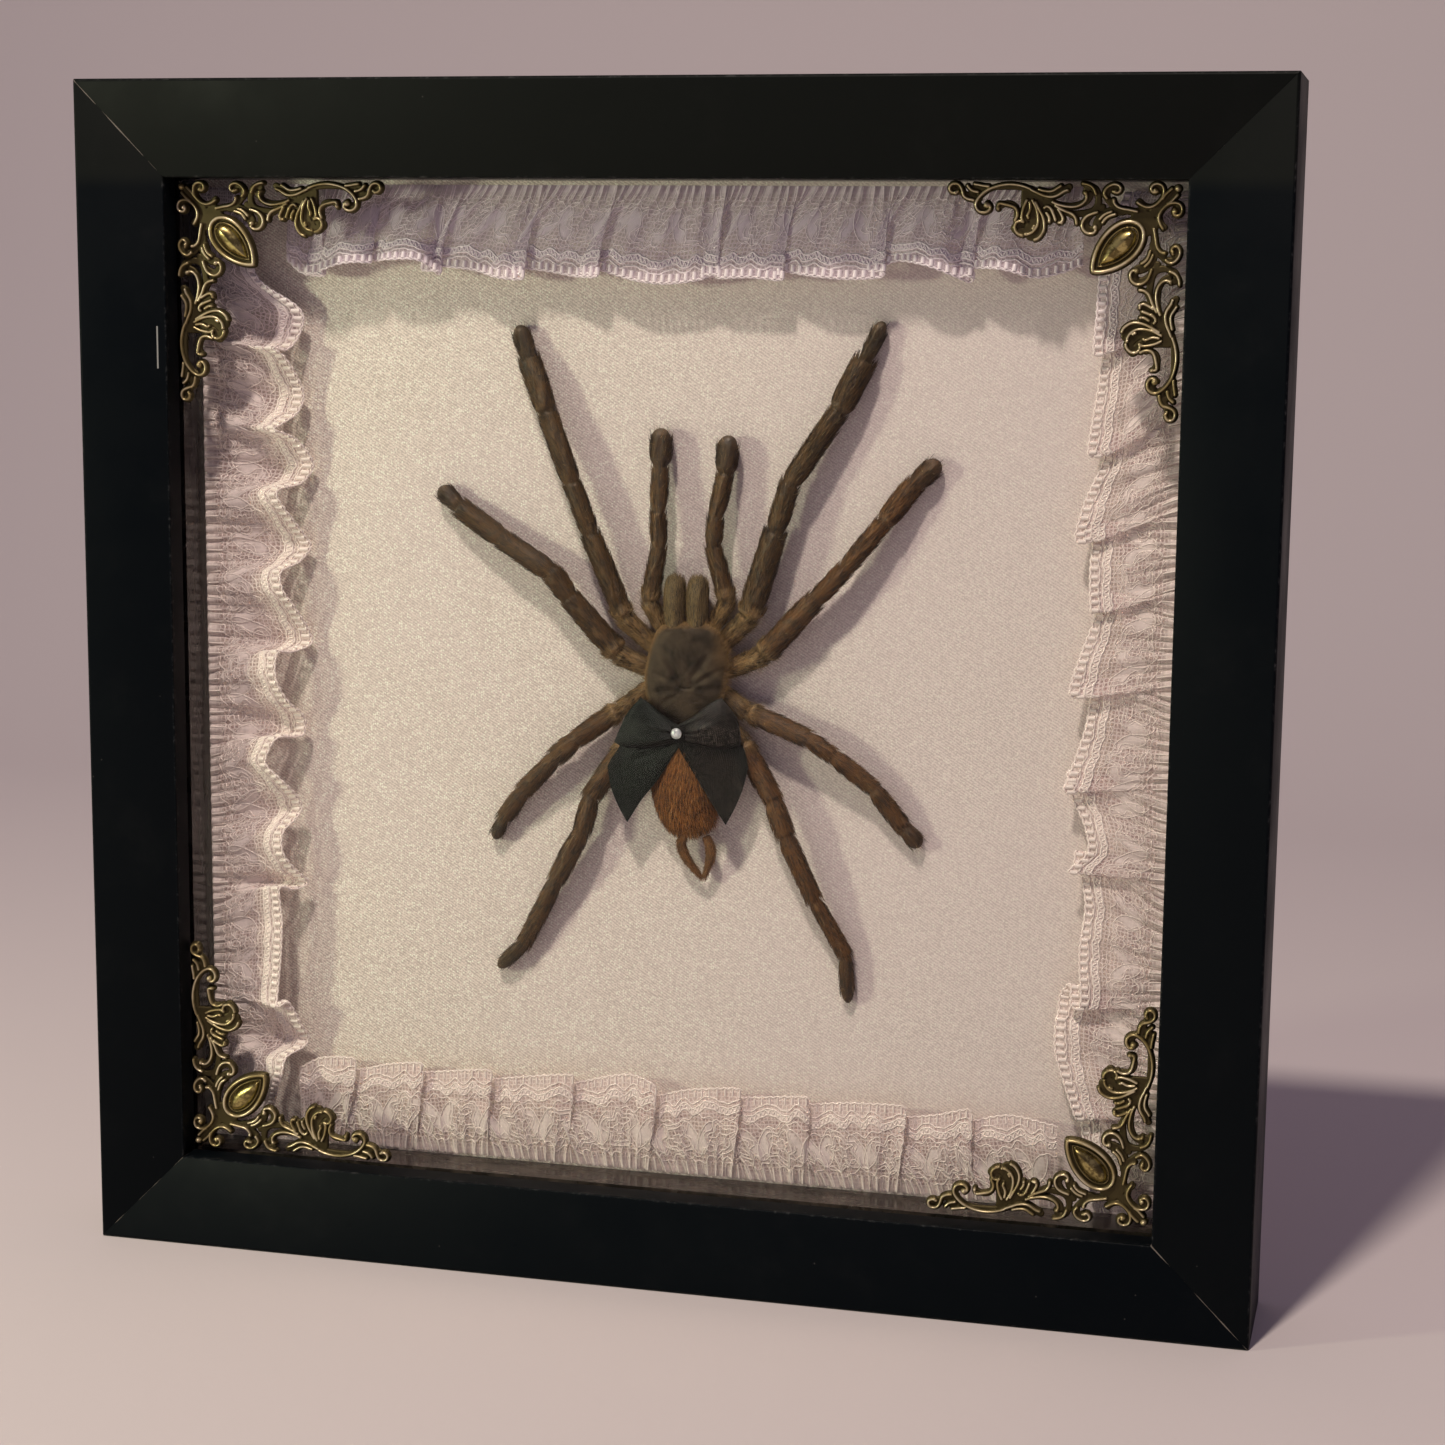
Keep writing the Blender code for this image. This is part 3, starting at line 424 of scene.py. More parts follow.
# Painted gleam: paler patches of yarn mixed into the colour.
gleam = silk.step(silk.noise(1300.0, 2.0, 0.6), 0.5, 0.8, 0.0, 0.3)
color = silk.mix(gleam, color, (0.90, 0.83, 0.74))
drift = silk.step(silk.noise(14.0, 2.0, 0.5), 0.35, 0.7, 0.0, 0.35)
color = silk.mix(drift, color, (0.74, 0.61, 0.60))
# Painted light: towards the right the colour turns lighter and pinker, making up for the left lamp's
# fall-off.
color = silk.mix(silk.step(x, -0.08, 0.08, 0.0, 0.4), color, (0.78, 0.66, 0.67))
# Painted glints: bright spots in the colour, more of them towards the left lamp.
spots = silk.cells(2200.0)
painted_glint = silk.product(
    silk.step(spots["Distance"], 0.28, 0.55, 1.0, 0.0), silk.step(silk.parts(spots["Color"])[0], 0.54, 0.76)
)
painted_glint = silk.product(painted_glint, silk.step(x, 0.09, -0.06, 0.35, 0.95))
silk.set("Base Color", silk.mix(painted_glint, color, (1.0, 0.98, 0.87)))
silk.set("Roughness", silk.step(yarn, 0.3, 0.75, 0.52, 0.28))
silk.set("Specular IOR Level", 0.6)
silk.set("Sheen Weight", 0.25)
silk.set("Sheen Roughness", 0.4)
silk.bump(silk.maths("ADD", thread, silk.product(silk.noise(4200.0, 1.0, 0.5), 0.7)), 0.00012, 0.9)
satin = mesh_object("satin_cloth", satin_points, satin_faces, silk.material)
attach(satin, "root")
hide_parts("satin_backing")

# ---------------------------------------------------------------- gathered lace
# Four strips of lilac pink nylon lace, 19 mm wide, gathered along a glued heading. Each has a net
# ground with flower medallions, two raised bands, and a ladder edge of two cords with rungs.
LACE_WIDE, LACE_STEP = 19.0, 0.5
HEADING_OUT, HEADING_HEIGHT, PLEAT_LONG = 0.9, 1.7, 3.0
LOWEST, HIGHEST = 0.7, 9.3
MEDALLION_STEP, MEDALLION_V, MEDALLION_SHIFT = 11.5, 8.2, 3.0
LEAF_LONG, LEAF_WIDE, LEAF_V, LEAF_SHIFT, LEAF_SLOPE, LEAF_RISE = 4.0, 1.55, 8.3, 1.6, 0.45, 0.89
NET_CELL, NET_ACROSS = 0.53, 26
BRAID_FROM, BRAID_TO, LADDER_FROM, FLOWER_CLEAR = 14.4, 16.1, 16.9, 4.5
RUNG_STEP, RIB_STEP, PETAL_TURNS = 1.6, 1.6, 30
SPLINE_STEPS, TAU = 24, 2 * math.pi


def path_through(points, step):
    """Points spaced evenly along a smooth curve through the given ones, and its length."""
    knots = np.array(points, float)
    knots = np.vstack([2 * knots[0] - knots[1], knots, 2 * knots[-1] - knots[-2]])
    fine = []
    for i in range(1, len(knots) - 2):
        a, b, c, d = knots[i - 1:i + 3]
        for t in np.linspace(0, 1, SPLINE_STEPS, endpoint=False):
            square, cube = 2 * a - 5 * b + 4 * c - d, 3 * b - a - 3 * c + d
            fine.append(0.5 * (2 * b + (c - a) * t + square * t**2 + cube * t**3))
    fine.append(knots[-2])
    fine = np.array(fine)
    along = np.concatenate([[0], np.cumsum(np.linalg.norm(np.diff(fine, axis=0), axis=1))])
    even = np.linspace(0, along[-1], int(along[-1] / step) + 1)
    return np.column_stack([np.interp(even, along, fine[:, k]) for k in range(fine.shape[1])]), along[-1]


def pleated(runs, low, high, tuck):
    """An edge of flat pleats: each run ends raised, folds back under by tuck, and the next begins."""
    points = []
    for number, run in enumerate(runs):
        for i, (along, out, *height) in enumerate(run):
            share = i / (len(run) - 1)
            points.append((along, out, height[0] if height else low + (high - low) * share))
        if number < len(runs) - 1:
            (end, out), (start, next_out) = run[-1][:2], runs[number + 1][0][:2]
            way = math.copysign(1.0, start - end if abs(start - end) > 0.2 else end - run[0][0])
            points.append((end + way * 0.5, out * 0.6 + next_out * 0.4, high - 0.35))
            points.append((end - way * tuck, (out + next_out) / 2, (low + high) / 2))
            points.append((end - way * tuck * 0.2, next_out - 0.2, low - 0.1))
    return points


# The free edges as traced in the photo, in millimetres: along the side, out from it, and height
# over the satin where the shadow gives it. The left one is one line, and the others are runs.
LEFT_EDGE = (
    (99.0, 12.0, 2.5), (90.0, 12.5, 3.2), (81.3, 14.9, 5.6), (75.1, 23.2, 3.6), (70.4, 23.1, 3.2),
    (66.9, 21.1, 5.2), (67.3, 19.2, 8.4), (65.3, 21.2, 6.7), (58.9, 23.5, 3.2), (54.4, 22.6, 3.6),
    (51.8, 19.9, 6.7), (50.9, 19.3, 8.3), (48.8, 22.6, 4.9), (43.8, 25.2, 2.4), (39.9, 23.0, 3.2),
    (38.8, 19.8, 7.2), (37.3, 19.6, 8.2), (34.1, 21.2, 6.7), (29.6, 23.3, 3.6), (26.8, 24.4, 2.4),
    (23.7, 22.4, 3.6), (21.9, 19.8, 7.2), (18.4, 20.2, 7.6), (14.5, 22.1, 5.6), (9.5, 23.9, 2.7),
    (6.7, 24.3, 2.4), (5.2, 21.2, 5.2), (5.2, 19.1, 8.2), (0.1, 19.1, 9.1), (-4.6, 20.8, 7.2),
    (-7.8, 22.8, 4.2), (-10.2, 23.1, 3.2), (-12.5, 22.3, 3.8), (-12.4, 18.9, 8.2), (-15.7, 16.9, 9.1),
    (-18.1, 16.7, 9.1), (-21.4, 19.9, 8.2), (-25.1, 22.0, 5.2), (-27.9, 22.3, 4.2), (-29.8, 21.3, 5.2),
    (-32.4, 19.5, 7.6), (-36.4, 19.7, 8.2), (-40.4, 21.6, 6.0), (-43.4, 23.3, 3.4), (-44.7, 21.2, 5.4),
    (-43.9, 18.9, 8.1), (-47.8, 18.7, 7.6), (-51.8, 19.0, 7.6), (-59.1, 18.6, 7.6), (-65.7, 17.9, 7.6),
    (-69.3, 18.3, 9.1), (-68.5, 20.4, 7.8), (-73.9, 22.1, 5.2), (-76.8, 23.0, 3.4), (-78.9, 22.0, 4.2),
    (-80.5, 19.5, 7.6), (-84.4, 18.9, 9.1), (-92.0, 15.0, 4.0), (-99.0, 12.5, 2.8),
)
RIGHT_RUNS = (
    ((99.0, 13.0), (91.0, 15.5), (84.0, 17.2), (76.0, 17.6), (69.5, 17.9)),
    ((68.0, 16.4), (62.4, 17.0), (56.0, 17.8), (50.3, 18.4)),
    ((49.0, 15.6), (46.8, 16.3), (42.0, 18.4), (38.0, 19.6), (33.9, 20.4)),
    ((33.0, 17.2), (28.0, 17.4), (20.6, 17.0)),
    ((19.8, 16.0), (17.0, 16.8), (10.0, 19.2), (4.2, 20.6)),
    ((0.4, 17.0), (-5.0, 18.0), (-12.6, 20.5), (-14.6, 21.2)),
    ((-16.5, 19.8), (-22.0, 17.0), (-27.0, 16.2), (-30.4, 19.6)),
    ((-31.6, 17.6), (-38.0, 16.4), (-47.0, 17.2), (-57.0, 16.6)),
    ((-59.5, 21.2), (-61.5, 21.6), (-67.0, 21.5), (-73.0, 19.6), (-79.6, 17.1)),
    ((-80.5, 16.0), (-88.0, 15.0), (-99.0, 12.5)),
)
TOP_RUNS = (
    ((-80.5, 16.0, 3.5), (-77.0, 18.7, 4.2), (-72.2, 19.3, 5.0)),
    ((-71.6, 18.1, 7.2), (-68.0, 16.9, 7.9), (-64.0, 16.4, 8.2), (-61.6, 16.5, 7.6)),
    ((-60.0, 16.1, 6.2), (-57.0, 15.8, 8.2), (-50.5, 15.9, 8.4), (-47.6, 18.7, 5.2)),
    ((-46.5, 17.1, 5.2), (-40.0, 17.7, 5.6), (-35.0, 19.1, 6.6), (-30.0, 19.5, 6.6)),
    ((-29.4, 17.3, 5.0), (-24.0, 17.9, 5.2), (-19.5, 18.7, 5.6), (-14.8, 18.9, 6.8)),
    ((-14.0, 17.5, 5.0), (-6.6, 19.4, 6.3), (-0.5, 20.0, 6.3), (6.7, 19.1, 6.2), (9.6, 17.7, 5.4)),
    ((10.6, 18.8, 6.6), (16.7, 18.6, 6.9), (22.4, 19.1, 6.7)),
    ((23.2, 17.4, 5.2), (30.0, 18.3, 6.9), (36.0, 18.7, 6.9), (42.2, 18.3, 6.3)),
    ((43.5, 15.7, 5.6), (45.7, 15.1, 5.8), (51.0, 15.9, 8.2), (56.0, 17.7, 7.4), (59.2, 19.1, 5.0)),
    ((59.8, 16.3, 5.6), (65.6, 16.5, 8.0), (71.7, 18.0, 6.6), (76.5, 17.1, 5.4), (80.5, 15.5, 4.5)),
)
BOTTOM_RUNS = (
    ((-80.5, 17.0), (-75.0, 20.0), (-68.0, 20.8)),
    ((-66.0, 18.0), (-60.0, 19.8), (-53.0, 20.9)),
    ((-51.0, 18.6), (-45.0, 19.6), (-38.0, 20.6)),
    ((-37.0, 18.2), (-31.0, 19.4), (-20.5, 21.0)),
    ((-19.5, 18.8), (-12.0, 21.0), (-7.0, 21.9), (-2.5, 20.6)),
    ((-1.5, 17.6), (5.0, 19.6), (15.0, 21.0)),
    ((16.0, 18.6), (23.0, 19.6), (29.5, 20.4)),
    ((30.5, 18.4), (38.0, 19.6), (49.0, 20.2)),
    ((50.0, 17.4), (56.0, 18.6), (62.5, 20.6)),
    ((63.5, 17.8), (71.0, 19.8), (80.5, 18.6)),
)


class LaceStrip:
    """A strip's cloth: s runs along its free edge and v across it from the heading, both in mm."""

    def __init__(self, side, edge, pleat, wave):
        self.side, self.pleat, self.wave = side, pleat, wave
        self.edge, self.length = path_through(edge, LACE_STEP)
        count = len(self.edge)
        share = np.linspace(0, 1, count)
        start, end = self.edge[0, 0], self.edge[-1, 0]
        way = share * self.length
        phase = way * TAU / PLEAT_LONG + 1.1 * np.sin(0.37 * way) + 0.7 * np.sin(0.83 * way)
        heading = start + (end - start) * share + 0.3 * np.cos(phase)
        level = np.ones(count)
        self.heading = np.column_stack([heading, HEADING_OUT * level, HEADING_HEIGHT * level])
        self.ripple = np.sin(phase)

    def at(self, s, v):
        """The world point over s and v; v may pass the edge a little."""
        row = min(max(s / self.length, 0.0), 1.0) * (len(self.edge) - 1)
        low = min(int(row), len(self.edge) - 2)
        part = row - low
        lines = (self.edge, self.heading, self.ripple)
        edge, head, ripple = (k[low] * (1 - part) + k[low + 1] * part for k in lines)
        share = v / LACE_WIDE
        along = head[0] + (edge[0] - head[0]) * math.sin(math.pi / 2 * min(share, 1.0)) ** 1.3
        near = OPENING - (head[1] + (edge[1] - head[1]) * share)
        height = head[2] + (edge[2] - head[2]) * share
        height += self.pleat * ripple * (1.3 * (1 - share) ** 4 + 0.2 * (1 - share))
        swell = 0.5 + 0.3 * math.sin(0.68 * s + 2.0 * math.sin(0.09 * s))
        height += math.sin(math.pi * min(share, 1.0)) * swell
        height = min(max(height, LOWEST), HIGHEST)
        places = {
            "left": (-near, along), "right": (near, along), "top": (along, near), "bottom": (along, -near),
        }
        across, up = places[self.side]
        return place(across, SATIN_DEPTH - height, up)

    def line(self, step, v_at):
        """World points along the whole strip, at the v that goes with each s."""
        return [self.at(s, v_at(s)) for s in np.arange(0, self.length, step)]

    def sway(self, s):
        """How far the bands wander across the strip."""
        return self.wave * (math.sin(1.1 * s + 1.5 * math.sin(0.31 * s)) - 0.7)

    def petal_at(self, number, share, turn):
        """The point at that share of the way out to a flower's outline."""
        reach = share * medallion(turn, number)
        s = number * MEDALLION_STEP + MEDALLION_STEP / 2 - MEDALLION_SHIFT
        return self.at(s + reach * math.cos(turn), MEDALLION_V + reach * math.sin(turn))


def medallion(turn, number):
    """How far the outline of that flower along the strip stands from its middle; no two are alike."""
    five, three = math.cos(5 * turn + 1.7 * number), math.cos(3 * turn + 2.3 * number)
    return 3.7 + 0.8 * five + 0.45 * three + 0.3 * math.cos(8 * turn + 3.1 * number)


def leaf_share(s, v, tilt):
    """How deep a place lies in one of the two leaves between flowers; over 0 is inside."""
    half = MEDALLION_STEP / 2
    local = (s + MEDALLION_SHIFT + half) % MEDALLION_STEP - half - tilt * LEAF_SHIFT
    long_way = local * LEAF_SLOPE * tilt + (v - LEAF_V) * LEAF_RISE
    wide_way = local * LEAF_RISE - (v - LEAF_V) * LEAF_SLOPE * tilt
    return 1 - (long_way / LEAF_LONG) ** 2 - (wide_way / LEAF_WIDE) ** 2


def cloth_density(s, v):
    """1 where the net is filled with close stitches and 0 where it is open."""
    number, local = divmod(s + MEDALLION_SHIFT, MEDALLION_STEP)
    local -= MEDALLION_STEP / 2
    reach, turn = math.hypot(local, v - MEDALLION_V), math.atan2(v - MEDALLION_V, local)
    petal = medallion(turn, int(number))
    ring = max(0.0, 1 - abs(reach - petal * 0.86) / 0.9)
    seed = max(0.0, 1 - reach / 1.2)
    leaf = 0.0
    if reach >= petal:
        leaf = max(0.0, min(1.0, 3 * max(leaf_share(s, v, tilt) for tilt in (-1, 1))))
    band = 1.0 if BRAID_FROM < v < BRAID_TO else 0.0
    ladder = 0.5 if v > LADDER_FROM else 0.0
    heading = max(0.0, min(1.0, (3.0 - v) / 1.2)) * 0.8
    return max(ring * 0.9, seed, leaf * 0.9, band, ladder, heading)


def geometry_tree(name, inputs, output):
    """An empty geometry tree: ways to build it, its inputs by name, and its one output."""
    tree = bpy.data.node_groups.new(name, "GeometryNodeTree")
    tree.is_modifier = True
    for label, kind in inputs.items():
        tree.interface.new_socket(label, in_out="INPUT", socket_type="NodeSocket" + kind)
    tree.interface.new_socket(output, in_out="OUTPUT", socket_type="NodeSocketGeometry")
    nodes = Nodes(tree)
    return nodes, nodes.new("NodeGroupInput").outputs, nodes.new("NodeGroupOutput").inputs[output]


# Threads: every drawn line of points becomes a thin round cord, in one mesh.
nodes, given, cords = geometry_tree(
    "threads", {"Lines": "Geometry", "Thickness": "Float", "Sides": "Int", "Finish": "Material"}, "Cords"
)
curve = nodes.out("GeometryNodeMeshToCurve", {"Mesh": given["Lines"]})
half = nodes.product(given["Thickness"], 0.5)
profile = nodes.out("GeometryNodeCurvePrimitiveCircle", {"Resolution": given["Sides"], "Radius": half})
tubes = nodes.out("GeometryNodeCurveToMesh", {"Curve": curve, "Profile Curve": profile, "Fill Caps": True})
for kind in ("GeometryNodeSetShadeSmooth", "GeometryNodeRealizeInstances"):
    tubes = nodes.out(kind, {"Geometry": tubes})
tubes = nodes.out("GeometryNodeSetMaterial", {"Geometry": tubes, "Material": given["Finish"]})
nodes.feed(cords, tubes)
threads_tree = nodes.tree


def grown(source, tree, finish, **values):
    """Runs a geometry tree on an object once and leaves its result as the object's plain mesh."""
    modifier = source.modifiers.new(tree.name, "NODES")
    modifier.node_group = tree
    values["Finish"] = finish.material
    for item in tree.interface.items_tree:
        if item.in_out == "INPUT" and item.name in values:
            modifier[item.identifier] = values[item.name]
    bpy.context.view_layer.update()
    evaluated = source.evaluated_get(bpy.context.evaluated_depsgraph_get())
    result = bpy.data.meshes.new_from_object(evaluated)
    source.modifiers.clear()
    result.name = source.name
    source.data = result
    return source


def add_threads(whole, lines, thickness, sides):
    """Adds a cord along every line of points to the whole."""
    points, edges = [], []
    for line in lines:
        first = len(points)
        points += [tuple(p) for p in line]
        edges += [(first + i, first + i + 1) for i in range(len(line) - 1)]
    mesh = bpy.data.meshes.new("cords")
    mesh.from_pydata(points, edges, [])
    drawn = grown(new_object("cords", mesh), threads_tree, nylon, Thickness=thickness * MM, Sides=sides)
    whole.from_mesh(drawn.data)
    bpy.data.objects.remove(drawn)


def set_attributes(made, **values):
    """Stores per-point numbers, or directions, on a piece's mesh under plain names."""
    for label, data in values.items():
        data = np.array(data, np.float32)
        kind, field = ("FLOAT_VECTOR", "vector") if data.ndim == 2 else ("FLOAT", "value")
        made.data.attributes.new(label, kind, "POINT").data.foreach_set(field, data.ravel())


def set_cloth_map(made, spots):
    """Stores each point's place on the flat cloth, in metres, as the UV map named cloth."""
    corners = np.array([loop.vertex_index for loop in made.data.loops])
    layer = made.data.uv_layers.new(name="cloth")
    layer.data.foreach_set("uv", np.array(spots, np.float32)[corners].ravel())


nylon = Finish("lace_thread", 0.62)
fuzz = nylon.noise(1800.0, 3.0, 0.6)
color = nylon.mix(fuzz, (0.80, 0.66, 0.61), (1.0, 0.89, 0.83))
# Painted shade: the threads turn lilac at the top, where the top rail shades the top strip.
upper = nylon.step(nylon.parts(nylon.where)[2], 0.18, 0.215, 0.0, 0.6)
nylon.set("Base Color", nylon.mix(upper, color, (0.88, 0.77, 0.92)))
nylon.set("Sheen Weight", 0.4)
nylon.bump(fuzz, 0.00008, 0.6)

# The net is drawn by a see-through pattern of cells, which close up where stitches fill it. A
# quarter more light passes for shadows, since theirs are so pale in the photo.
netting = Finish("lace_net", 0.7)
cloth = netting.out("ShaderNodeUVMap", uv_map="cloth")
settings = {"voronoi_dimensions": "2D", "feature": "DISTANCE_TO_EDGE"}
inputs = {"Scale": 1150.0, "Randomness": 0.35, "Vector": cloth}
from_line = netting.new("ShaderNodeTexVoronoi", inputs, **settings).outputs["Distance"]
mesh_line = netting.step(from_line, 0.20, 0.10)
patch = netting.noise(260.0, 3.0, 0.6, vector=cloth)
dense = netting.attribute("dense")
fill = netting.product(dense, netting.step(patch, 0.25, 0.6, 0.72, 0.97))
solid = netting.maths("MAXIMUM", netting.maths("MULTIPLY_ADD", mesh_line, 0.28, 0.34), fill)
in_shadow = netting.new("ShaderNodeLightPath").outputs["Is Shadow Ray"]
netting.set("Alpha", netting.product(solid, netting.maths("MULTIPLY_ADD", in_shadow, -0.25, 1.0)))
gap = netting.mix(patch, (0.58, 0.37, 0.36), (0.72, 0.50, 0.48))
color = netting.mix(mesh_line, gap, (1.0, 0.83, 0.80))
color = netting.mix(dense, color, (0.96, 0.81, 0.77))
x, y, z = netting.parts(netting.where)
# Painted shade: the net turns lilac at the top, less so to the right, where the top rail shades it.
upper = netting.product(netting.step(z, 0.18, 0.215, 0.0, 0.75), netting.step(x, 0.06, 0.11, 1.0, 0.3))
netting.set("Base Color", netting.mix(upper, color, (0.72, 0.60, 0.76)))
netting.set("Sheen Weight", 0.3)

# Each strip: its edge, how deep its gathers are, how far its bands sway, and its threads' widths.
for side, edge, pleat, wave, cord_wide, rung_wide, motif_wide, rib_wide in (
    ("left", LEFT_EDGE, 0.42, 0.18, 0.4, 0.92, 0.26, 0.34),
    ("right", pleated(RIGHT_RUNS, 3.0, 5.6, 3.6), 0.42, 0.18, 0.4, 0.92, 0.2, 0.34),
    ("top", pleated(TOP_RUNS, 4.6, 7.0, 3.2), 0.27, 0.5, 0.4, 0.92, 0.19, 0.2),
    ("bottom", pleated(BOTTOM_RUNS, 3.0, 4.8, 4.0), 0.36, 0.75, 0.32, 0.42, 0.26, 0.34),
):
    strip = LaceStrip(side, edge, pleat, wave)
    points, density, spots = [], [], []
    count = int(strip.length / NET_CELL)
    for i in range(count + 1):
        s = strip.length * i / count
        for j in range(NET_ACROSS + 1):
            v = LACE_WIDE * j / NET_ACROSS
            points.append(strip.at(s, v))
            density.append(cloth_density(s, v - strip.sway(s) if 11 < v < 17.5 else v))
            spots.append((s * MM, v * MM))
    net = mesh_object("lace_net_" + side, points, grid(count, NET_ACROSS)[0], netting.material)
    set_cloth_map(net, spots)
    set_attributes(net, dense=density)

    # The ladder edge, with a braid and cords along its inner side.
    whole = bmesh.new()
    ladder = [
        strip.line(0.24, lambda s: 18.75 + 0.16 * math.cos((s - 0.7) * TAU / RUNG_STEP)),
        strip.line(0.21, lambda s: 15.3 + strip.sway(s) + 0.5 * math.sin(s * TAU / 1.05)),
    ]
    for v in (16.95, 15.95, 14.6):
        ladder.append(strip.line(0.4, lambda s: v + strip.sway(s) + 0.1 * math.sin(s * 3.1)))
    add_threads(whole, ladder, cord_wide, 5)
    rungs = []
    for s in np.arange(0.7, strip.length, RUNG_STEP):
        s += 0.14 * math.sin(7.3 * s)
        rungs.append([strip.at(s + 0.05 * math.sin(3.1 * s + v), v) for v in (17.1, 17.6, 18.1, 18.6)])
    add_threads(whole, rungs, rung_wide, 7)

    # Flowers of three outlines with five spokes, two leaves after each, and three wavy vines.
    motifs = []
    turns = [TAU * i / PETAL_TURNS for i in range(PETAL_TURNS + 1)]
    for number in range(int(strip.length / MEDALLION_STEP) + 1):
        middle = number * MEDALLION_STEP + MEDALLION_STEP / 2 - MEDALLION_SHIFT
        if not FLOWER_CLEAR < middle < strip.length - FLOWER_CLEAR:
            continue
        motifs += [[strip.petal_at(number, share, a) for a in turns] for share in (1.0, 0.74, 0.3)]
        for a in [TAU * k / 5 + 0.5 for k in range(5)]:
            motifs.append([strip.petal_at(number, share, a) for share in (0.3, 0.55, 0.74)])
        for tilt in (-1, 1):
            leaf = []
            for a in turns:
                long_way, wide_way = LEAF_LONG * math.cos(a), LEAF_WIDE * math.sin(a)
                local = long_way * LEAF_SLOPE * tilt + wide_way * LEAF_RISE + tilt * LEAF_SHIFT
                v = LEAF_V + long_way * LEAF_RISE - wide_way * LEAF_SLOPE * tilt
                leaf.append(strip.at(middle + MEDALLION_STEP / 2 + local, v))
            motifs.append(leaf)
    for v, slow, quick in ((3.7, 0.9, 0.4), (4.9, 1.1, 0.6), (12.6, 0.8, 0.5)):
        motifs.append(strip.line(
            0.45, lambda s: v + slow * math.sin(s * 0.61 + v) + quick * math.sin(s * 1.9 + 2 * v)
        ))
    add_threads(whole, motifs, motif_wide, 4)
    ribs = [[strip.at(s, v) for v in (0.2, 1.6, 3.1)] for s in np.arange(0.8, strip.length, RIB_STEP)]
    add_threads(whole, ribs, rib_wide, 5)

    mesh = bpy.data.meshes.new("lace_threads_" + side)
    whole.to_mesh(mesh)
    whole.free()
    mesh.materials.append(nylon.material)
    mesh.shade_smooth()
    lace_threads = new_object("lace_threads_" + side, mesh)
    for piece in (net, lace_threads):
        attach(piece, "root")
    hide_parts("lace_" + side)

# ---------------------------------------------------------------- filigree corners
# Four cast corners in antiqued bronze, each arm 44 mm long, glued on the glass over the lip's
# inner edge. Thin bright ridges run along dark plates, and a polished teardrop sits in a rim.
TEAR_CENTRE, TEAR_LONG, TEAR_WIDE, TEAR_TAPER = 12.2, 12.8, 8.4, 0.45
RELIEF_STEP, RELIEF_SIZE, CUT_HEIGHT = 0.125, 44.6, 0.36
DISC_CENTRE, DISC_RADIUS = 7.6, 2.6
PLATE_MARGIN, RIDGE_HALF, CREST_HALF, KNOB_MARGIN = 0.12, 0.58, 0.32, 0.1
PLATE_BASE, PLATE_RISE, CREST_RISE, BEVEL = 0.42, 0.22, 0.78, 0.22
# The teardrop's rim and ring: how far inside its outline they run, half width and rise. Its dome:
# where it starts, how wide its slope is, its rise, and from where it is polished. The last line
# has the height they stand on, and how far the metal and the relief reach past the outline.
RIM_INSET, RIM_HALF, RIM_RISE = 0.45, 0.42, 0.95
RING_INSET, RING_HALF, RING_RISE = 1.45, 0.2, 0.42
DOME_INSET, DOME_SLOPE, DOME_RISE, POLISH_INSET = 1.75, 2.3, 1.6, 1.72
TEAR_BASE, TEAR_MARGIN, TEAR_RELIEF_MARGIN = 0.62, 0.25, 0.1

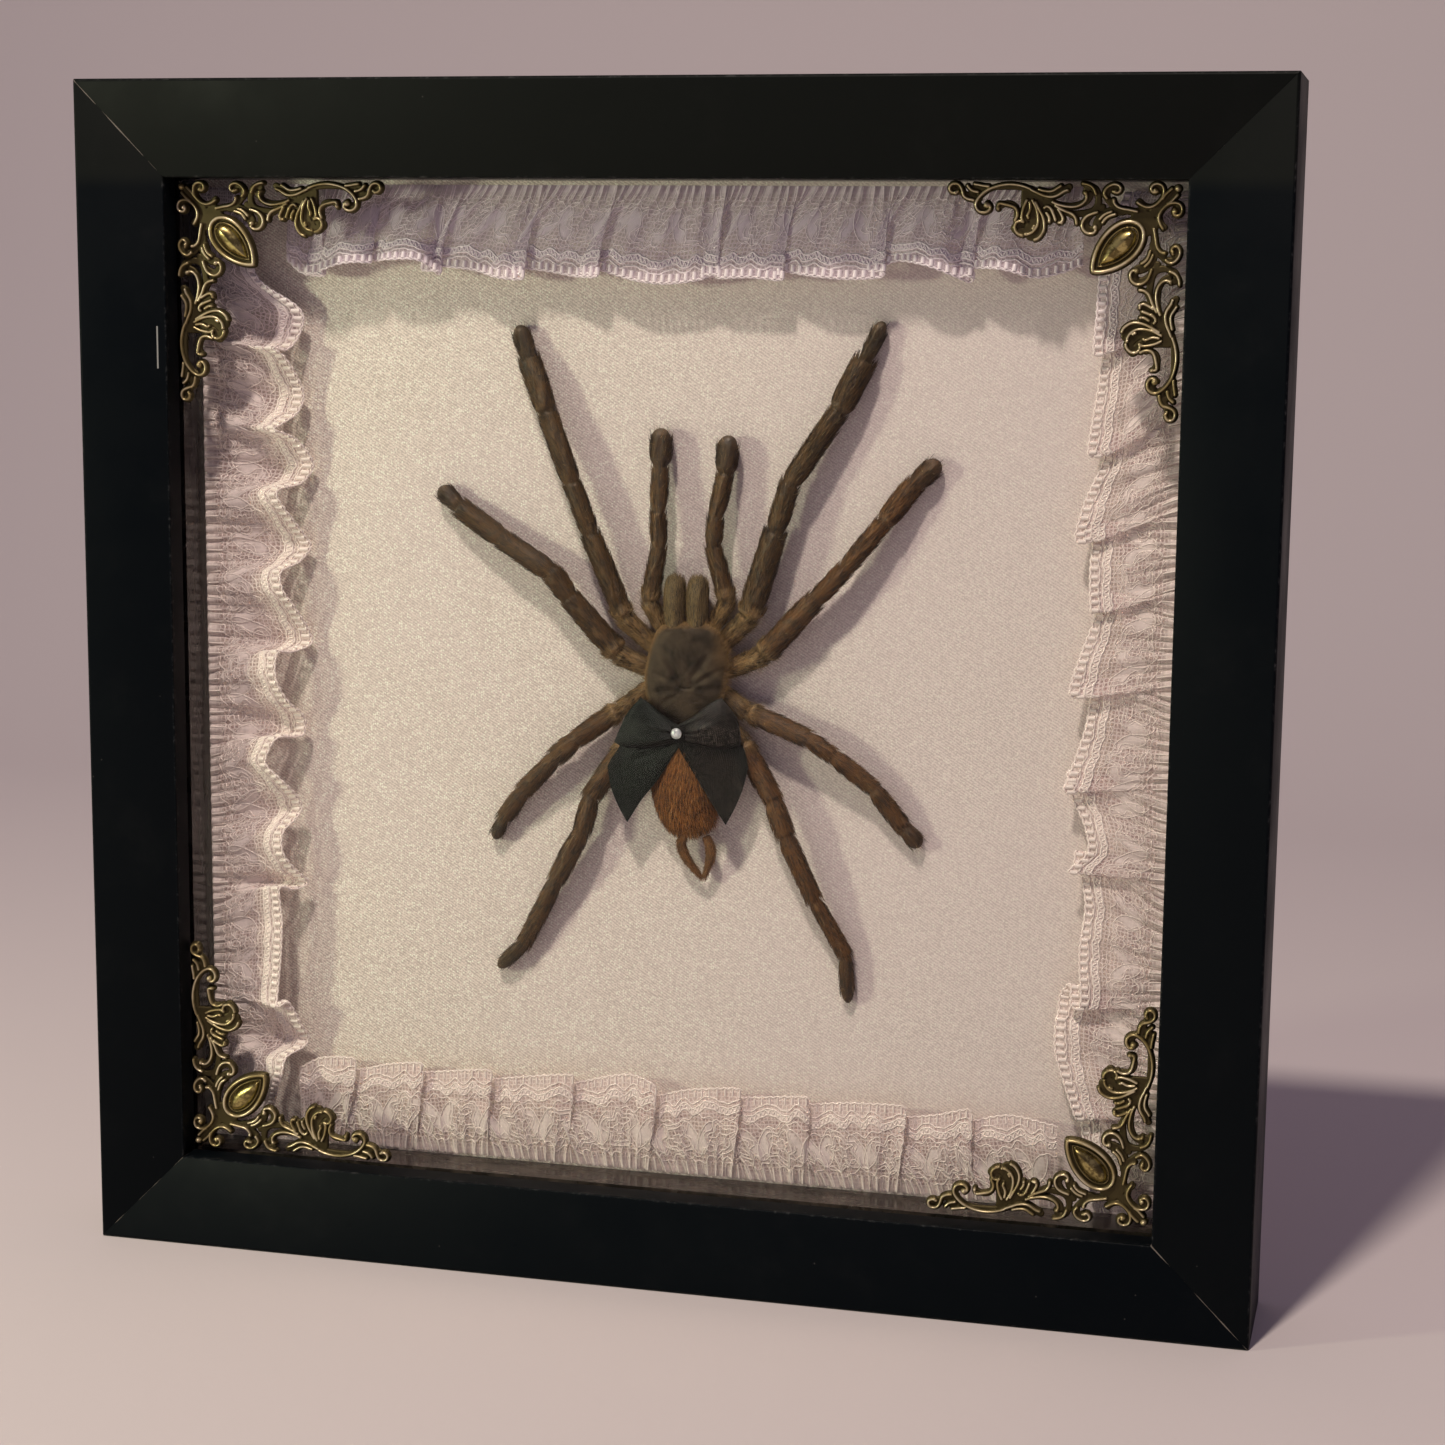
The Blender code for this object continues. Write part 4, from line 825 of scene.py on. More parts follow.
# All is drawn for one half and mirrored, in millimetres: first along one arm from the outer corner,
# then away from its outer edge. Each plate under the scrollwork has its half width first.
PLATES = (
    (0.75, ((1.3, 1.3), (2.8, 2.8), (4.4, 4.4), (6.4, 6.4))),
    (0.5, ((5.2, 1.8), (5.4, 1.1), (4.7, 0.9), (3.9, 1.3), (3.8, 2.5), (4.6, 3.9), (6.0, 4.7))),
    (0.5, ((6.0, 4.7), (7.5, 4.4), (8.3, 3.6))),
    (0.5, ((12.7, 1.7), (11.8, 1.5), (12.2, 0.9), (13.5, 0.9), (14.4, 1.8), (14.2, 3.2))),
    (0.5, ((14.2, 3.2), (13.2, 4.4), (11.4, 5.3))),
    (0.55, ((11.4, 5.3), (9.2, 5.5), (7.4, 5.2))),
    (0.5, ((18.1, 1.4), (17.4, 0.9), (16.5, 1.2), (15.9, 2.2), (15.8, 3.6))),
    (0.55, ((17.4, 2.4), (17.8, 3.4), (19.0, 4.2), (21.0, 4.6), (23.2, 4.3), (25.4, 3.6))),
    (0.55, ((21.3, 1.0), (23.2, 1.8), (25.2, 2.2), (27.2, 1.9), (29.0, 1.2), (31.5, 0.9), (34.5, 0.95))),
    (0.5, ((34.5, 0.95), (36.8, 1.5), (38.1, 2.8), (38.4, 4.1), (37.6, 4.9), (36.5, 4.6), (36.4, 4.0))),
    (0.5, ((30.9, 6.3), (30.8, 5.2), (31.6, 4.2), (32.9, 4.0), (34.0, 4.5))),
    (0.9, ((27.8, 2.2), (26.0, 4.4), (25.7, 6.8), (26.6, 9.0), (28.2, 9.9))),
    (0.9, ((28.4, 2.4), (27.5, 4.6), (27.5, 7.0), (28.6, 9.0), (30.0, 9.6), (31.0, 8.6))),
    (0.9, ((29.2, 2.2), (29.2, 4.6), (29.5, 6.8), (30.6, 7.8))),
    (0.6, ((25.6, 4.0), (22.8, 5.0), (20.3, 6.2))),
    (0.6, ((26.0, 4.8), (24.0, 5.8), (22.4, 6.8))),
    (0.6, ((26.2, 5.4), (25.2, 6.2), (24.4, 6.9))),
    (0.5, ((15.0, 4.6), (16.8, 5.6), (18.1, 7.2), (17.8, 8.6), (16.8, 8.8))),
    (0.8, ((11.4, 5.3), (13.8, 5.4), (15.6, 6.8), (16.0, 8.2))),
    (0.55, ((15.8, 3.6), (16.0, 4.6), (17.0, 5.6), (20.3, 6.0))),
    (0.5, ((38.0, 3.2), (39.8, 2.8), (41.6, 2.0), (43.0, 1.4))),
    (0.45, ((36.8, 1.4), (38.4, 0.9), (39.3, 1.3), (39.8, 2.8))),
)
# The ridges' crests, and then round knobs with their radius.
RIDGES = (
    ((1.3, 2.4), (2.4, 3.6), (3.1, 4.0)),
    ((5.01, 1.8), (5.42, 2.04), (5.95, 1.87), (6.19, 1.38), (6.09, 0.83), (5.63, 0.48), (5.01, 0.36),
     (4.31, 0.58), (3.89, 1.11), (3.78, 2.08), (4.1, 3.05), (4.87, 3.95), (5.84, 4.55), (6.81, 4.69),
     (7.78, 4.33), (8.55, 3.81)),
    ((13.13, 1.8), (12.51, 2.15), (11.88, 1.87), (11.64, 1.24), (12.06, 0.69), (12.78, 0.47),
     (13.62, 0.66), (14.38, 1.22), (14.8, 1.94), (14.69, 2.56), (14.24, 3.08)),
    ((13.03, 3.3), (12.85, 3.95), (12.3, 4.58), (11.46, 4.92), (10.14, 5.11), (8.62, 5.44)),
    ((18.69, 0.41), (17.92, 0.52), (17.09, 0.87), (16.56, 1.49), (16.28, 2.29)),
    ((15.98, 5.62), (16.81, 5.86), (17.71, 6.24), (18.37, 6.87), (18.71, 7.7), (18.62, 8.54),
     (18.06, 9.23), (17.3, 9.55), (16.46, 9.44), (16.06, 8.88), (16.28, 8.33)),
    ((13.34, 5.48), (14.17, 5.76), (14.87, 6.24), (15.42, 6.87)),
    ((12.64, 5.97), (13.76, 6.31), (14.45, 6.8), (14.89, 7.49)),
    ((18.38, 2.01), (17.89, 2.56), (18.01, 3.33), (18.59, 4.02), (19.56, 4.51), (20.7, 4.69),
     (22.09, 4.52), (23.48, 4.13), (24.24, 3.81)),
    ((19.7, 7.7), (19.81, 6.87), (20.26, 6.17), (20.84, 5.8), (21.95, 5.41), (22.92, 4.92), (23.69, 4.47)),
    ((21.53, 1.59), (22.23, 1.8), (22.92, 2.29), (23.55, 2.66), (24.34, 2.86), (25.21, 2.8),
     (26.12, 2.58), (27.02, 2.15), (28.2, 1.63)),
    ((22.78, 0.86), (23.41, 1.24), (24.03, 1.69), (24.87, 1.88), (25.91, 1.74), (26.81, 1.49)),
    ((28.48, 1.38), (29.59, 0.94), (30.84, 0.66), (32.23, 0.55), (33.62, 0.66), (35.28, 1.08),
     (36.39, 1.59), (37.37, 2.29), (38.23, 3.26), (38.62, 4.16), (38.41, 5.06), (37.71, 5.69),
     (36.67, 5.76), (35.91, 5.27), (35.81, 4.55), (36.26, 4.09), (36.88, 4.55)),
    ((31.12, 7.15), (30.73, 6.38), (30.73, 5.55), (31.05, 4.88), (31.81, 4.49), (32.78, 4.27),
     (33.62, 4.08), (34.24, 4.05), (34.45, 4.55), (34.38, 5.11)),
    ((27.37, 3.88), (26.67, 5.13), (25.95, 6.52), (25.63, 7.91), (25.7, 8.88), (26.12, 9.74),
     (26.7, 10.44), (27.39, 10.7)),
    ((27.99, 3.47), (27.23, 4.86), (26.89, 6.24), (26.81, 7.36), (27.03, 8.33), (27.53, 9.05),
     (28.27, 9.61), (29.1, 9.72)),
    ((28.48, 3.88), (28.31, 4.86), (28.48, 5.55), (28.89, 6.24), (28.69, 6.73)),
    ((29.03, 3.47), (29.59, 4.58), (29.87, 5.83), (29.98, 6.8), (29.59, 7.49)),
    ((29.59, 7.47), (30.28, 7.24), (30.98, 7.66), (31.23, 8.33), (31.05, 9.09), (30.42, 9.72),
     (29.7, 9.93)),
    ((23.13, 5.13), (22.64, 5.9), (22.16, 6.87), (22.44, 7.49), (22.99, 7.56)),
    ((24.45, 5.13), (23.96, 6.11), (23.64, 7.08)),
    ((25.28, 5.83), (24.73, 6.66), (24.76, 7.42)),
    ((24.17, 5.41), (24.73, 4.74), (25.35, 4.52), (25.73, 4.88)),
    ((27.57, 8.19), (27.81, 8.68)),
    ((36.26, 0.94), (37.23, 0.86), (38.2, 0.66), (38.83, 0.58)),
    ((38.23, 2.01), (39.17, 1.83), (39.76, 1.41), (40.17, 0.86)),
    ((39.03, 3.47), (40.14, 3.27), (40.91, 2.77), (41.14, 1.8), (41.51, 0.9), (42.09, 0.45),
     (42.99, 0.45), (43.59, 1.0), (43.51, 1.8), (42.78, 2.24), (42.02, 1.94)),
)
KNOBS = (
    (1.25, 1.25, 0.68), (5.4, 1.62, 0.42), (12.7, 1.9, 0.38), (12.95, 3.35, 0.36), (18.15, 2.15, 0.4),
    (16.25, 8.4, 0.5), (36.5, 4.4, 0.62), (34.4, 4.9, 0.4), (29.1, 9.7, 0.34), (30.9, 7.6, 0.32),
    (22.5, 7.5, 0.4), (24.75, 7.3, 0.34), (42.4, 2.2, 0.36),
)
# Each corner's side across and up, and how far it was glued out of place.
CORNER_PLACES = {
    "top_left": (-1, 1, 0.6, 0.5),
    "top_right": (1, 1, 1.0, 0.2),
    "bottom_left": (-1, -1, 0.2, 1.1),
    "bottom_right": (1, -1, 0.8, 1.8),
}


def softened_line(line):
    """A polyline with its bends cut twice to short chords, so that scrolls read as curves."""
    for _ in range(2):
        cut = [line[0]]
        for a, b in zip(line, line[1:]):
            for near, far in ((0.75, 0.25), (0.25, 0.75)):
                cut.append((a[0] * near + b[0] * far, a[1] * near + b[1] * far))
        line = cut + [line[-1]]
    return line


def from_polyline(x, y, line):
    """Distance of each grid point from a polyline."""
    nearest = np.full(x.shape, 99.0)
    for (x0, y0), (x1, y1) in zip(line, line[1:]):
        dx, dy = x1 - x0, y1 - y0
        share = np.clip(((x - x0) * dx + (y - y0) * dy) / max(dx * dx + dy * dy, 1e-9), 0, 1)
        nearest = np.minimum(nearest, np.hypot(x - x0 - share * dx, y - y0 - share * dy))
    return nearest


def half_round(reach, half):
    return np.sqrt(np.clip(1 - (reach / half) ** 2, 0, 1))


def corner_relief(x, y):
    """Each grid point's distance inside the metal, its height in mm, and how bright it is: rubbed, with a
    painted highlight.
    """
    inside = DISC_RADIUS - np.hypot(x - DISC_CENTRE, y - DISC_CENTRE)
    crest = np.zeros(x.shape)
    for p, q in ((x, y), (y, x)):
        for half, line in PLATES:
            inside = np.maximum(inside, half + PLATE_MARGIN - from_polyline(p, q, softened_line(line)))
        for line in RIDGES:
            reach = from_polyline(p, q, softened_line(line))
            inside = np.maximum(inside, RIDGE_HALF - reach)
            crest = np.maximum(crest, half_round(reach, CREST_HALF))
        for across, away, radius in KNOBS:
            reach = np.hypot(p - across, q - away)
            inside = np.maximum(inside, radius + KNOB_MARGIN - reach)
            crest = np.maximum(crest, half_round(reach, radius) * (0.9 + radius))
    height = PLATE_BASE + PLATE_RISE * np.clip(inside / BEVEL, 0, 1) + CREST_RISE * crest
    # The teardrop lies on the diagonal: a rim, a thin ring inside it, and a polished dome.
    turns = np.linspace(0, TAU, 97)
    long_way = TEAR_LONG / 2 * np.cos(turns)
    wide_way = TEAR_WIDE / 2 * np.sin(turns) * np.abs(np.sin(turns / 2)) ** TEAR_TAPER
    slant = math.sqrt(0.5)
    outline = [(a - b, a + b) for a, b in zip(long_way, wide_way)]
    outline = [(TEAR_CENTRE + p * slant, TEAR_CENTRE + q * slant) for p, q in outline]
    within = np.zeros(x.shape, bool)
    for (x0, y0), (x1, y1) in zip(outline, outline[1:]):
        crosses = (y0 > y) != (y1 > y)
        within ^= crosses & (x < (x1 - x0) * (y - y0) / (y1 - y0 + 1e-12) + x0)
    reach = from_polyline(x, y, outline)
    inset = np.where(within, reach, -reach)
    inside = np.maximum(inside, inset + TEAR_MARGIN)
    rim, ring = half_round(inset - RIM_INSET, RIM_HALF), half_round(inset - RING_INSET, RING_HALF)
    dome = half_round(1 - np.clip((inset - DOME_INSET) / DOME_SLOPE, 0, 1), 1.0)
    on_tear = inset > -TEAR_RELIEF_MARGIN
    raised = TEAR_BASE + RIM_RISE * rim + RING_RISE * ring + DOME_RISE * dome
    height = np.where(on_tear, raised, height)
    bright = np.where(on_tear, np.maximum(rim, ring * 0.6), np.minimum(crest, 1.0))
    bright = np.where(inset > POLISH_INSET, 2.0, bright)
    inside = np.minimum(inside, np.minimum(x, y) + PLATE_MARGIN)
    return inside, height, bright


def corner_mesh():
    """The corner's top as a relief cut along its outline, and that outline as closed loops."""
    line = np.arange(-0.4, RELIEF_SIZE, RELIEF_STEP)
    x, y = np.meshgrid(line, line, indexing="ij")
    inside, height, bright = corner_relief(x, y)
    inside[0, :] = inside[-1, :] = inside[:, 0] = inside[:, -1] = -1.0
    spots, index = [], {}

    def node(a, b=None):
        """The number of a grid point, or of the outline's crossing between two."""
        key = a if b is None else (min(a, b), max(a, b))
        if key not in index:
            index[key] = len(spots)
            if b is None:
                spots.append((line[a[0]], line[a[1]], height[a], bright[a]))
            else:
                a, b = key
                share = inside[a] / (inside[a] - inside[b])
                across, away = (line[a[k]] + share * (line[b[k]] - line[a[k]]) for k in (0, 1))
                spots.append((across, away, CUT_HEIGHT, 0.0))
        return index[key]

    tops, after = [], {}
    metal = inside > 0
    for i, j in np.argwhere(metal[:-1, :-1] | metal[1:, :-1] | metal[:-1, 1:] | metal[1:, 1:]):
        ring = [(i, j), (i + 1, j), (i + 1, j + 1), (i, j + 1)]
        face, open_edge = [], []
        for a, b in zip(ring, ring[1:] + ring[:1]):
            if metal[a]:
                face.append(node(a))
            if metal[a] != metal[b]:
                face.append(node(a, b))
                open_edge.append((metal[a], face[-1]))
        tops.append(tuple(face))
        for (leaves, start), (_, end) in zip(open_edge, open_edge[1:] + open_edge[:1]):
            if leaves:
                after[start] = end
    loops, left = [], set(after)
    while left:
        loop = [min(left)]
        while after[loop[-1]] != loop[0]:
            loop.append(after[loop[-1]])
        left -= set(loop)
        loops.append(loop)
    return spots, tops, loops


bronze = Finish("antiqued_bronze")
proud = bronze.attribute("bright")
worn, broad = bronze.noise(900.0, 4.0, 0.65), bronze.noise(120.0, 3.0, 0.6)
level = bronze.maths("ADD", proud, bronze.maths("MULTIPLY_ADD", worn, 0.5, -0.25))
color = bronze.mix(bronze.step(level, 0.15, 0.6), (0.060, 0.046, 0.019), (0.23, 0.18, 0.08))
# Painted highlight: the raised ridges, rubbed bright, are also painted pale so that they read as lit all
# round.
crest = bronze.mix(bronze.step(broad, 0.36, 0.62), (0.70, 0.60, 0.40), (0.42, 0.33, 0.14))
color = bronze.mix(bronze.step(level, 0.62, 1.0), color, crest)
polished = bronze.step(proud, 1.5, 1.9)
patina = bronze.step(bronze.noise(520.0, 4.0, 0.7), 0.42, 0.60)
tear = bronze.mix(patina, (0.15, 0.115, 0.045), (0.50, 0.41, 0.16))
color = bronze.mix(polished, color, tear)
dull = bronze.step(broad, 0.4, 0.75, 0.0, 0.35)
bronze.set("Base Color", bronze.mix(dull, color, (0.14, 0.11, 0.05)))
bronze.set("Roughness", bronze.step(level, 0.3, 1.0, 0.55, 0.30))
bronze.set("Metallic", bronze.maths("MAXIMUM", bronze.step(level, 0.4, 1.0, 0.85, 0.6), polished))
bronze.bump(worn, 0.00006, 0.5)

spots, tops, loops = corner_mesh()
back = tessellate_polygon([[Vector((spots[n][0], spots[n][1], 0.0)) for n in loop] for loop in loops])
for corner, (side_x, side_z, off_x, off_z) in CORNER_PLACES.items():
    shown = [(along, away, height) for along, away, height, _ in spots]
    bright = [rubbed for _, _, _, rubbed in spots]
    faces = list(tops)
    for loop in loops:
        start = len(shown)
        shown += [(spots[n][0], spots[n][1], 0.0) for n in loop]
        for k, n in enumerate(loop):
            follows = (k + 1) % len(loop)
            faces.append((loop[follows], n, start + k, start + follows))
    faces += [tuple(len(spots) + n for n in triangle) for triangle in back]
    bright += [0.0] * (len(shown) - len(spots))
    points = [
        place(side_x * (OPENING - off_x - along), LIP_DEPTH - height, side_z * (OPENING - off_z - away))
        for along, away, height in shown
    ]
    filigree = mesh_object("filigree_" + corner, points, faces, bronze.material, closed=True, sharp=62)
    set_attributes(filigree, bright=bright)
    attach(filigree, "root")
    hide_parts("corner_" + corner)

# ---------------------------------------------------------------- legs and palps
# Dried legs of a tarantula, 70 to 85 mm long, set 2 to 5 mm over the satin. Each has seven
# stretches in a combed coat of short hair, brown at the front and rust at the rear.
LIMB_SIDES, LIMB_STEP = 30, 0.32

# Each limb: its joints as across, up and height over the satin in millimetres, its stretches'
# half widths, and its tone from olive brown at 0 to rust at 1.
LIMBS = {
    "leg_left_1": (
        ((-2.9, 9.3, 3.2), (-8.9, 14.7, 3.84), (-15.8, 31.3, 4.8), (-19.7, 41.3, 4.8), (-25.3, 55.2, 3.6),
         (-29.6, 65.9, 2.08), (-31.9, 72.4, 1.52)),
        (1.7, 1.95, 1.75, 1.85, 2.1, 1.6), 0.15,
    ),
    "leg_left_2": (
        ((-3.5, 4.7, 3.2), (-10.1, 7.4, 3.84), (-20.1, 18.5, 4.8), (-24.1, 23.6, 4.8), (-34.8, 29.8, 3.6),
         (-44.3, 35.8, 2.08), (-48.8, 39.6, 1.52)),
        (1.7, 2.15, 1.95, 1.9, 2.0, 1.7), 0.25,
    ),
    "leg_left_3": (
        ((-3.7, 1.3, 3.2), (-9.7, -3.5, 3.84), (-18.8, -9.9, 4.8), (-23.4, -14.0, 4.32),
         (-30.6, -21.6, 3.04), (-35.2, -27.6, 1.84), (-37.3, -32.2, 1.36)),
        (1.5, 1.85, 1.8, 1.65, 1.6, 1.25), 0.5,
    ),
    "leg_left_4": (
        ((-1.3, -0.7, 2.88), (-8.4, -10.7, 3.52), (-15.8, -21.6, 4.32), (-17.5, -28.5, 4.64),
         (-23.4, -39.5, 3.6), (-30.8, -53.7, 2.0), (-36.5, -59.2, 1.44)),
        (1.5, 1.95, 1.7, 1.75, 1.5, 1.3), 0.45,
    ),
    "leg_right_1": (
        ((10.3, 9.8, 3.2), (16.5, 15.9, 3.84), (21.8, 33.1, 4.8), (24.6, 42.6, 4.8), (33.7, 56.7, 3.6),
         (38.6, 66.7, 2.08), (42.0, 74.2, 1.52)),
        (1.7, 2.3, 1.85, 1.9, 2.2, 1.35), 0.2,
    ),
    "leg_right_2": (
        ((11.7, 5.1, 3.2), (19.3, 8.5, 3.84), (29.8, 19.9, 4.8), (35.8, 26.2, 4.8), (43.0, 35.3, 3.6),
         (48.7, 42.9, 2.08), (53.5, 47.6, 1.52)),
        (1.7, 2.1, 1.65, 1.6, 1.9, 1.8), 0.85,
    ),
    "leg_right_3": (
        ((10.7, 1.1, 3.2), (16.3, -2.8, 3.84), (28.8, -7.3, 4.8), (33.9, -10.7, 4.32),
         (41.9, -16.9, 3.04), (47.8, -24.6, 1.84), (51.3, -28.5, 1.36)),
        (1.5, 1.85, 1.55, 1.5, 1.6, 1.5), 0.8,
    ),
    "leg_right_4": (
        ((8.7, -0.9, 2.88), (15.2, -8.9, 3.52), (22.0, -20.1, 4.32), (24.6, -27.2, 4.64),
         (30.4, -40.1, 3.6), (36.7, -51.5, 2.0), (37.3, -61.3, 1.44)),
        (1.5, 1.95, 1.8, 1.65, 1.4, 1.3), 0.85,
    ),
    "palp_left": (
        ((-1.6, 13.5, 3.52), (-3.8, 18.3, 4.32), (-1.8, 29.2, 4.96), (-2.0, 36.3, 4.64),
         (-2.0, 45.1, 3.36), (-2.2, 52.7, 2.08)),
        (1.4, 1.6, 1.5, 1.5, 1.95), 0.3,
    ),
    "palp_right": (
        ((9.2, 13.9, 3.52), (12.2, 19.0, 4.32), (9.4, 29.8, 4.96), (9.6, 35.5, 4.64), (11.2, 43.9, 3.36),
         (11.7, 51.6, 2.08)),
        (1.4, 1.65, 1.5, 1.5, 1.95), 0.3,
    ),
}


def over_satin(across, up, height):
    return place(across, SATIN_DEPTH - height, up)


def smooth(low, high, value):
    t = min(1.0, max(0.0, (value - low) / (high - low)))
    return t * t * (3 - 2 * t)


def bulge(value, centre, wide):
    return math.exp(-(((value - centre) / wide) ** 2))


def limb(name, joints, halves, tone, seed):
    """One limb as a tube of fine rings, with what its coat and colours need stored on it."""
    dice = random.Random(seed)
    spots = [over_satin(*joint) for joint in joints]
    ways = [(b - a).normalized() for a, b in zip(spots, spots[1:])]
    lobes = [(k, dice.uniform(0, 6.28), dice.uniform(0.012, 0.035)) for k in (2, 3, 5, 7)]
    rings, values = [], {"tip": [], "tan": [], "seam": [], "way": [], "cover": [], "tone": []}
    for i, half in enumerate(halves):
        long = (spots[i + 1] - spots[i]).length / MM
        last = i == len(halves) - 1
        count = max(5, int(long / LIMB_STEP))
        for k in range(count + (1 if last else 0)):
            t = k / count
            from_start, to_end = t * long, (1 - t) * long
            # A waist at each joint, swells at the hip and the first knee, and a rounded last end.
            size = 1 + 0.05 * math.sin(math.pi * t) - (0.04 * t if i == 1 else 0.0)
            if i:
                waist = 0.80 * min(half, halves[i - 1]) / half
                size *= waist + (1 - waist) * smooth(0.0, 1.5, from_start)
            if i == 0:
                size *= 1 + 0.14 * bulge(to_end, 1.2, 0.9)
            if i == 1:
                size *= 1 + 0.16 * bulge(from_start, 1.3, 0.8) - 0.07 * bulge(from_start, 2.9, 0.6)
            if last:
                size *= math.sqrt(max(0.0, 1 - (max(0.0, t - 0.7) / 0.31) ** 2))
            else:
                size *= 0.86 + 0.14 * smooth(0.0, 0.30, to_end)
            way = ways[i].copy()
            if i and from_start < 1.0:
                way = way.lerp(ways[i - 1], 0.5 * (1 - from_start)).normalized()
            if not last and to_end < 1.0:
                way = way.lerp(ways[i + 1], 0.5 * (1 - to_end)).normalized()
            side = way.cross(Vector((0, 1, 0))).normalized()
            rise = side.cross(way).normalized()
            centre = spots[i].lerp(spots[i + 1], t)
            ring = []
            for a in [TAU * j / LIMB_SIDES for j in range(LIMB_SIDES)]:
                travel = (i * long + from_start) * 0.13
                dent = sum(amount * math.cos(n * a + phase + travel * n) for n, phase, amount in lobes)
                r = half * size * (1 + dent) * MM
                ring.append(centre + side * (r * math.cos(a)) + rise * (r * 0.96 * math.sin(a)))
            rings.append(ring)
            at_joint = 1 - smooth(0.0, 0.45, from_start) if i else 0.0
            here = {
                "tip": max(smooth(0.0, 0.5, t), 0.85) if last else 0.0,
                "tan": 1.0 - smooth(0.6, 3.6, from_start) if i == 1 else (1.0 if i == 0 else 0.0),
                "seam": max(at_joint, 0.0 if last else 1 - smooth(0.0, 0.4, to_end)),
                "way": tuple(way),
                "cover": 1.0 - 0.94 * smooth(0.55, 0.8, t) if last else 1.0,
                "tone": tone,
            }
            for label, value in here.items():
                values[label] += [value] * LIMB_SIDES
    made = mesh_object(name, *joined_rings(rings), limb_skin.material, closed=True)
    set_attributes(made, **values)
    return made


# Bristles: tapered hairs on a skin, which lean along its stored way and curl down towards it.
sockets = {label: "Float" for label in ("Density", "Length", "Thickness", "Lean", "Scatter", "Bend")}
nodes, given, coat = geometry_tree(
    "bristles", {"Skin": "Geometry", **sockets, "Seed": "Int", "Finish": "Material"}, "Coat"
)


def stored(label, kind="FLOAT"):
    return nodes.out("GeometryNodeInputNamedAttribute", {"Name": label}, data_type=kind)


def store(geometry, label, value, kind="FLOAT", domain="POINT"):
    inputs = {"Geometry": geometry, "Name": label, "Value": value}
    return nodes.out("GeometryNodeStoreNamedAttribute", inputs, data_type=kind, domain=domain)


def scaled(vector, scale):
    return nodes.out("ShaderNodeVectorMath", {0: vector, "Scale": scale}, operation="SCALE")


def summed(first, second):
    return nodes.out("ShaderNodeVectorMath", {0: first, 1: second}, operation="ADD")


def chance(low, high, extra):
    """A random number for each hair; extra keeps the draws apart."""
    inputs = {2: low, 3: high, "Seed": nodes.maths("ADD", given["Seed"], extra)}
    return nodes.new("FunctionNodeRandomValue", inputs, data_type="FLOAT").outputs[1]


density = nodes.product(given["Density"], stored("cover"))
inputs = {"Mesh": given["Skin"], "Density": density, "Seed": given["Seed"]}
scatter = nodes.new("GeometryNodeDistributePointsOnFaces", inputs).outputs
inputs = {0: (-1, -1, -1), 1: (1, 1, 1), "Seed": nodes.maths("ADD", given["Seed"], 5)}
stray = nodes.out("FunctionNodeRandomValue", inputs, data_type="FLOAT_VECTOR")
heading = summed(scatter["Normal"], scaled(stored("way", "FLOAT_VECTOR"), given["Lean"]))
heading = summed(heading, scaled(stray, given["Scatter"]))
upright = nodes.out("FunctionNodeAlignRotationToVector", {"Vector": heading}, axis="Z")
inputs = {"Rotation": upright, "Vector": scaled(scatter["Normal"], -1.0)}
turned = nodes.out("FunctionNodeAlignRotationToVector", inputs, axis="X", pivot_axis="Z")
inputs = {"Vertices": 3, "Side Segments": 2, "Radius Top": 0.12, "Radius Bottom": 0.5, "Depth": 1.0}
hair = nodes.out("GeometryNodeMeshCone", inputs, fill_type="NONE")
hair = store(hair, "reach", nodes.parts(nodes.out("GeometryNodeInputPosition"))[2])
drop = nodes.product(given["Length"], nodes.product(given["Bend"], -1.0))
fall = scaled(summed(scatter["Normal"], scaled(stray, 0.8)), drop)
roots = store(scatter["Points"], "fall", fall, "FLOAT_VECTOR")
thick = nodes.product(given["Thickness"], chance(0.7, 1.3, 1))
long = nodes.product(given["Length"], chance(0.55, 1.25, 2))
size = nodes.out("ShaderNodeCombineXYZ", {0: thick, 1: thick, 2: long})
inputs = {"Points": roots, "Instance": hair, "Rotation": turned, "Scale": size}
hairs = nodes.out("GeometryNodeInstanceOnPoints", inputs)
hairs = store(hairs, "shade", chance(0.0, 1.0, 3), domain="INSTANCE")
hairs = nodes.out("GeometryNodeRealizeInstances", {"Geometry": hairs})
curl = scaled(stored("fall", "FLOAT_VECTOR"), nodes.product(stored("reach"), stored("reach")))
hairs = nodes.out("GeometryNodeSetPosition", {"Geometry": hairs, "Offset": curl})
hairs = nodes.out("GeometryNodeSetShadeSmooth", {"Geometry": hairs})
hairs = nodes.out("GeometryNodeSetMaterial", {"Geometry": hairs, "Material": given["Finish"]})
nodes.feed(coat, hairs)
bristles = nodes.tree


def coat_of(skin, name, finish, density, length, thickness, lean, scatter, bend, seed):
    """A separate mesh of hairs grown on a skin; density is per square millimetre, sizes in mm."""
    return grown(
        new_object(name, skin.data.copy()), bristles, finish, Density=density * 1e6, Length=length * MM,
        Thickness=thickness * MM, Lean=lean, Scatter=scatter, Bend=bend, Seed=seed,
    )


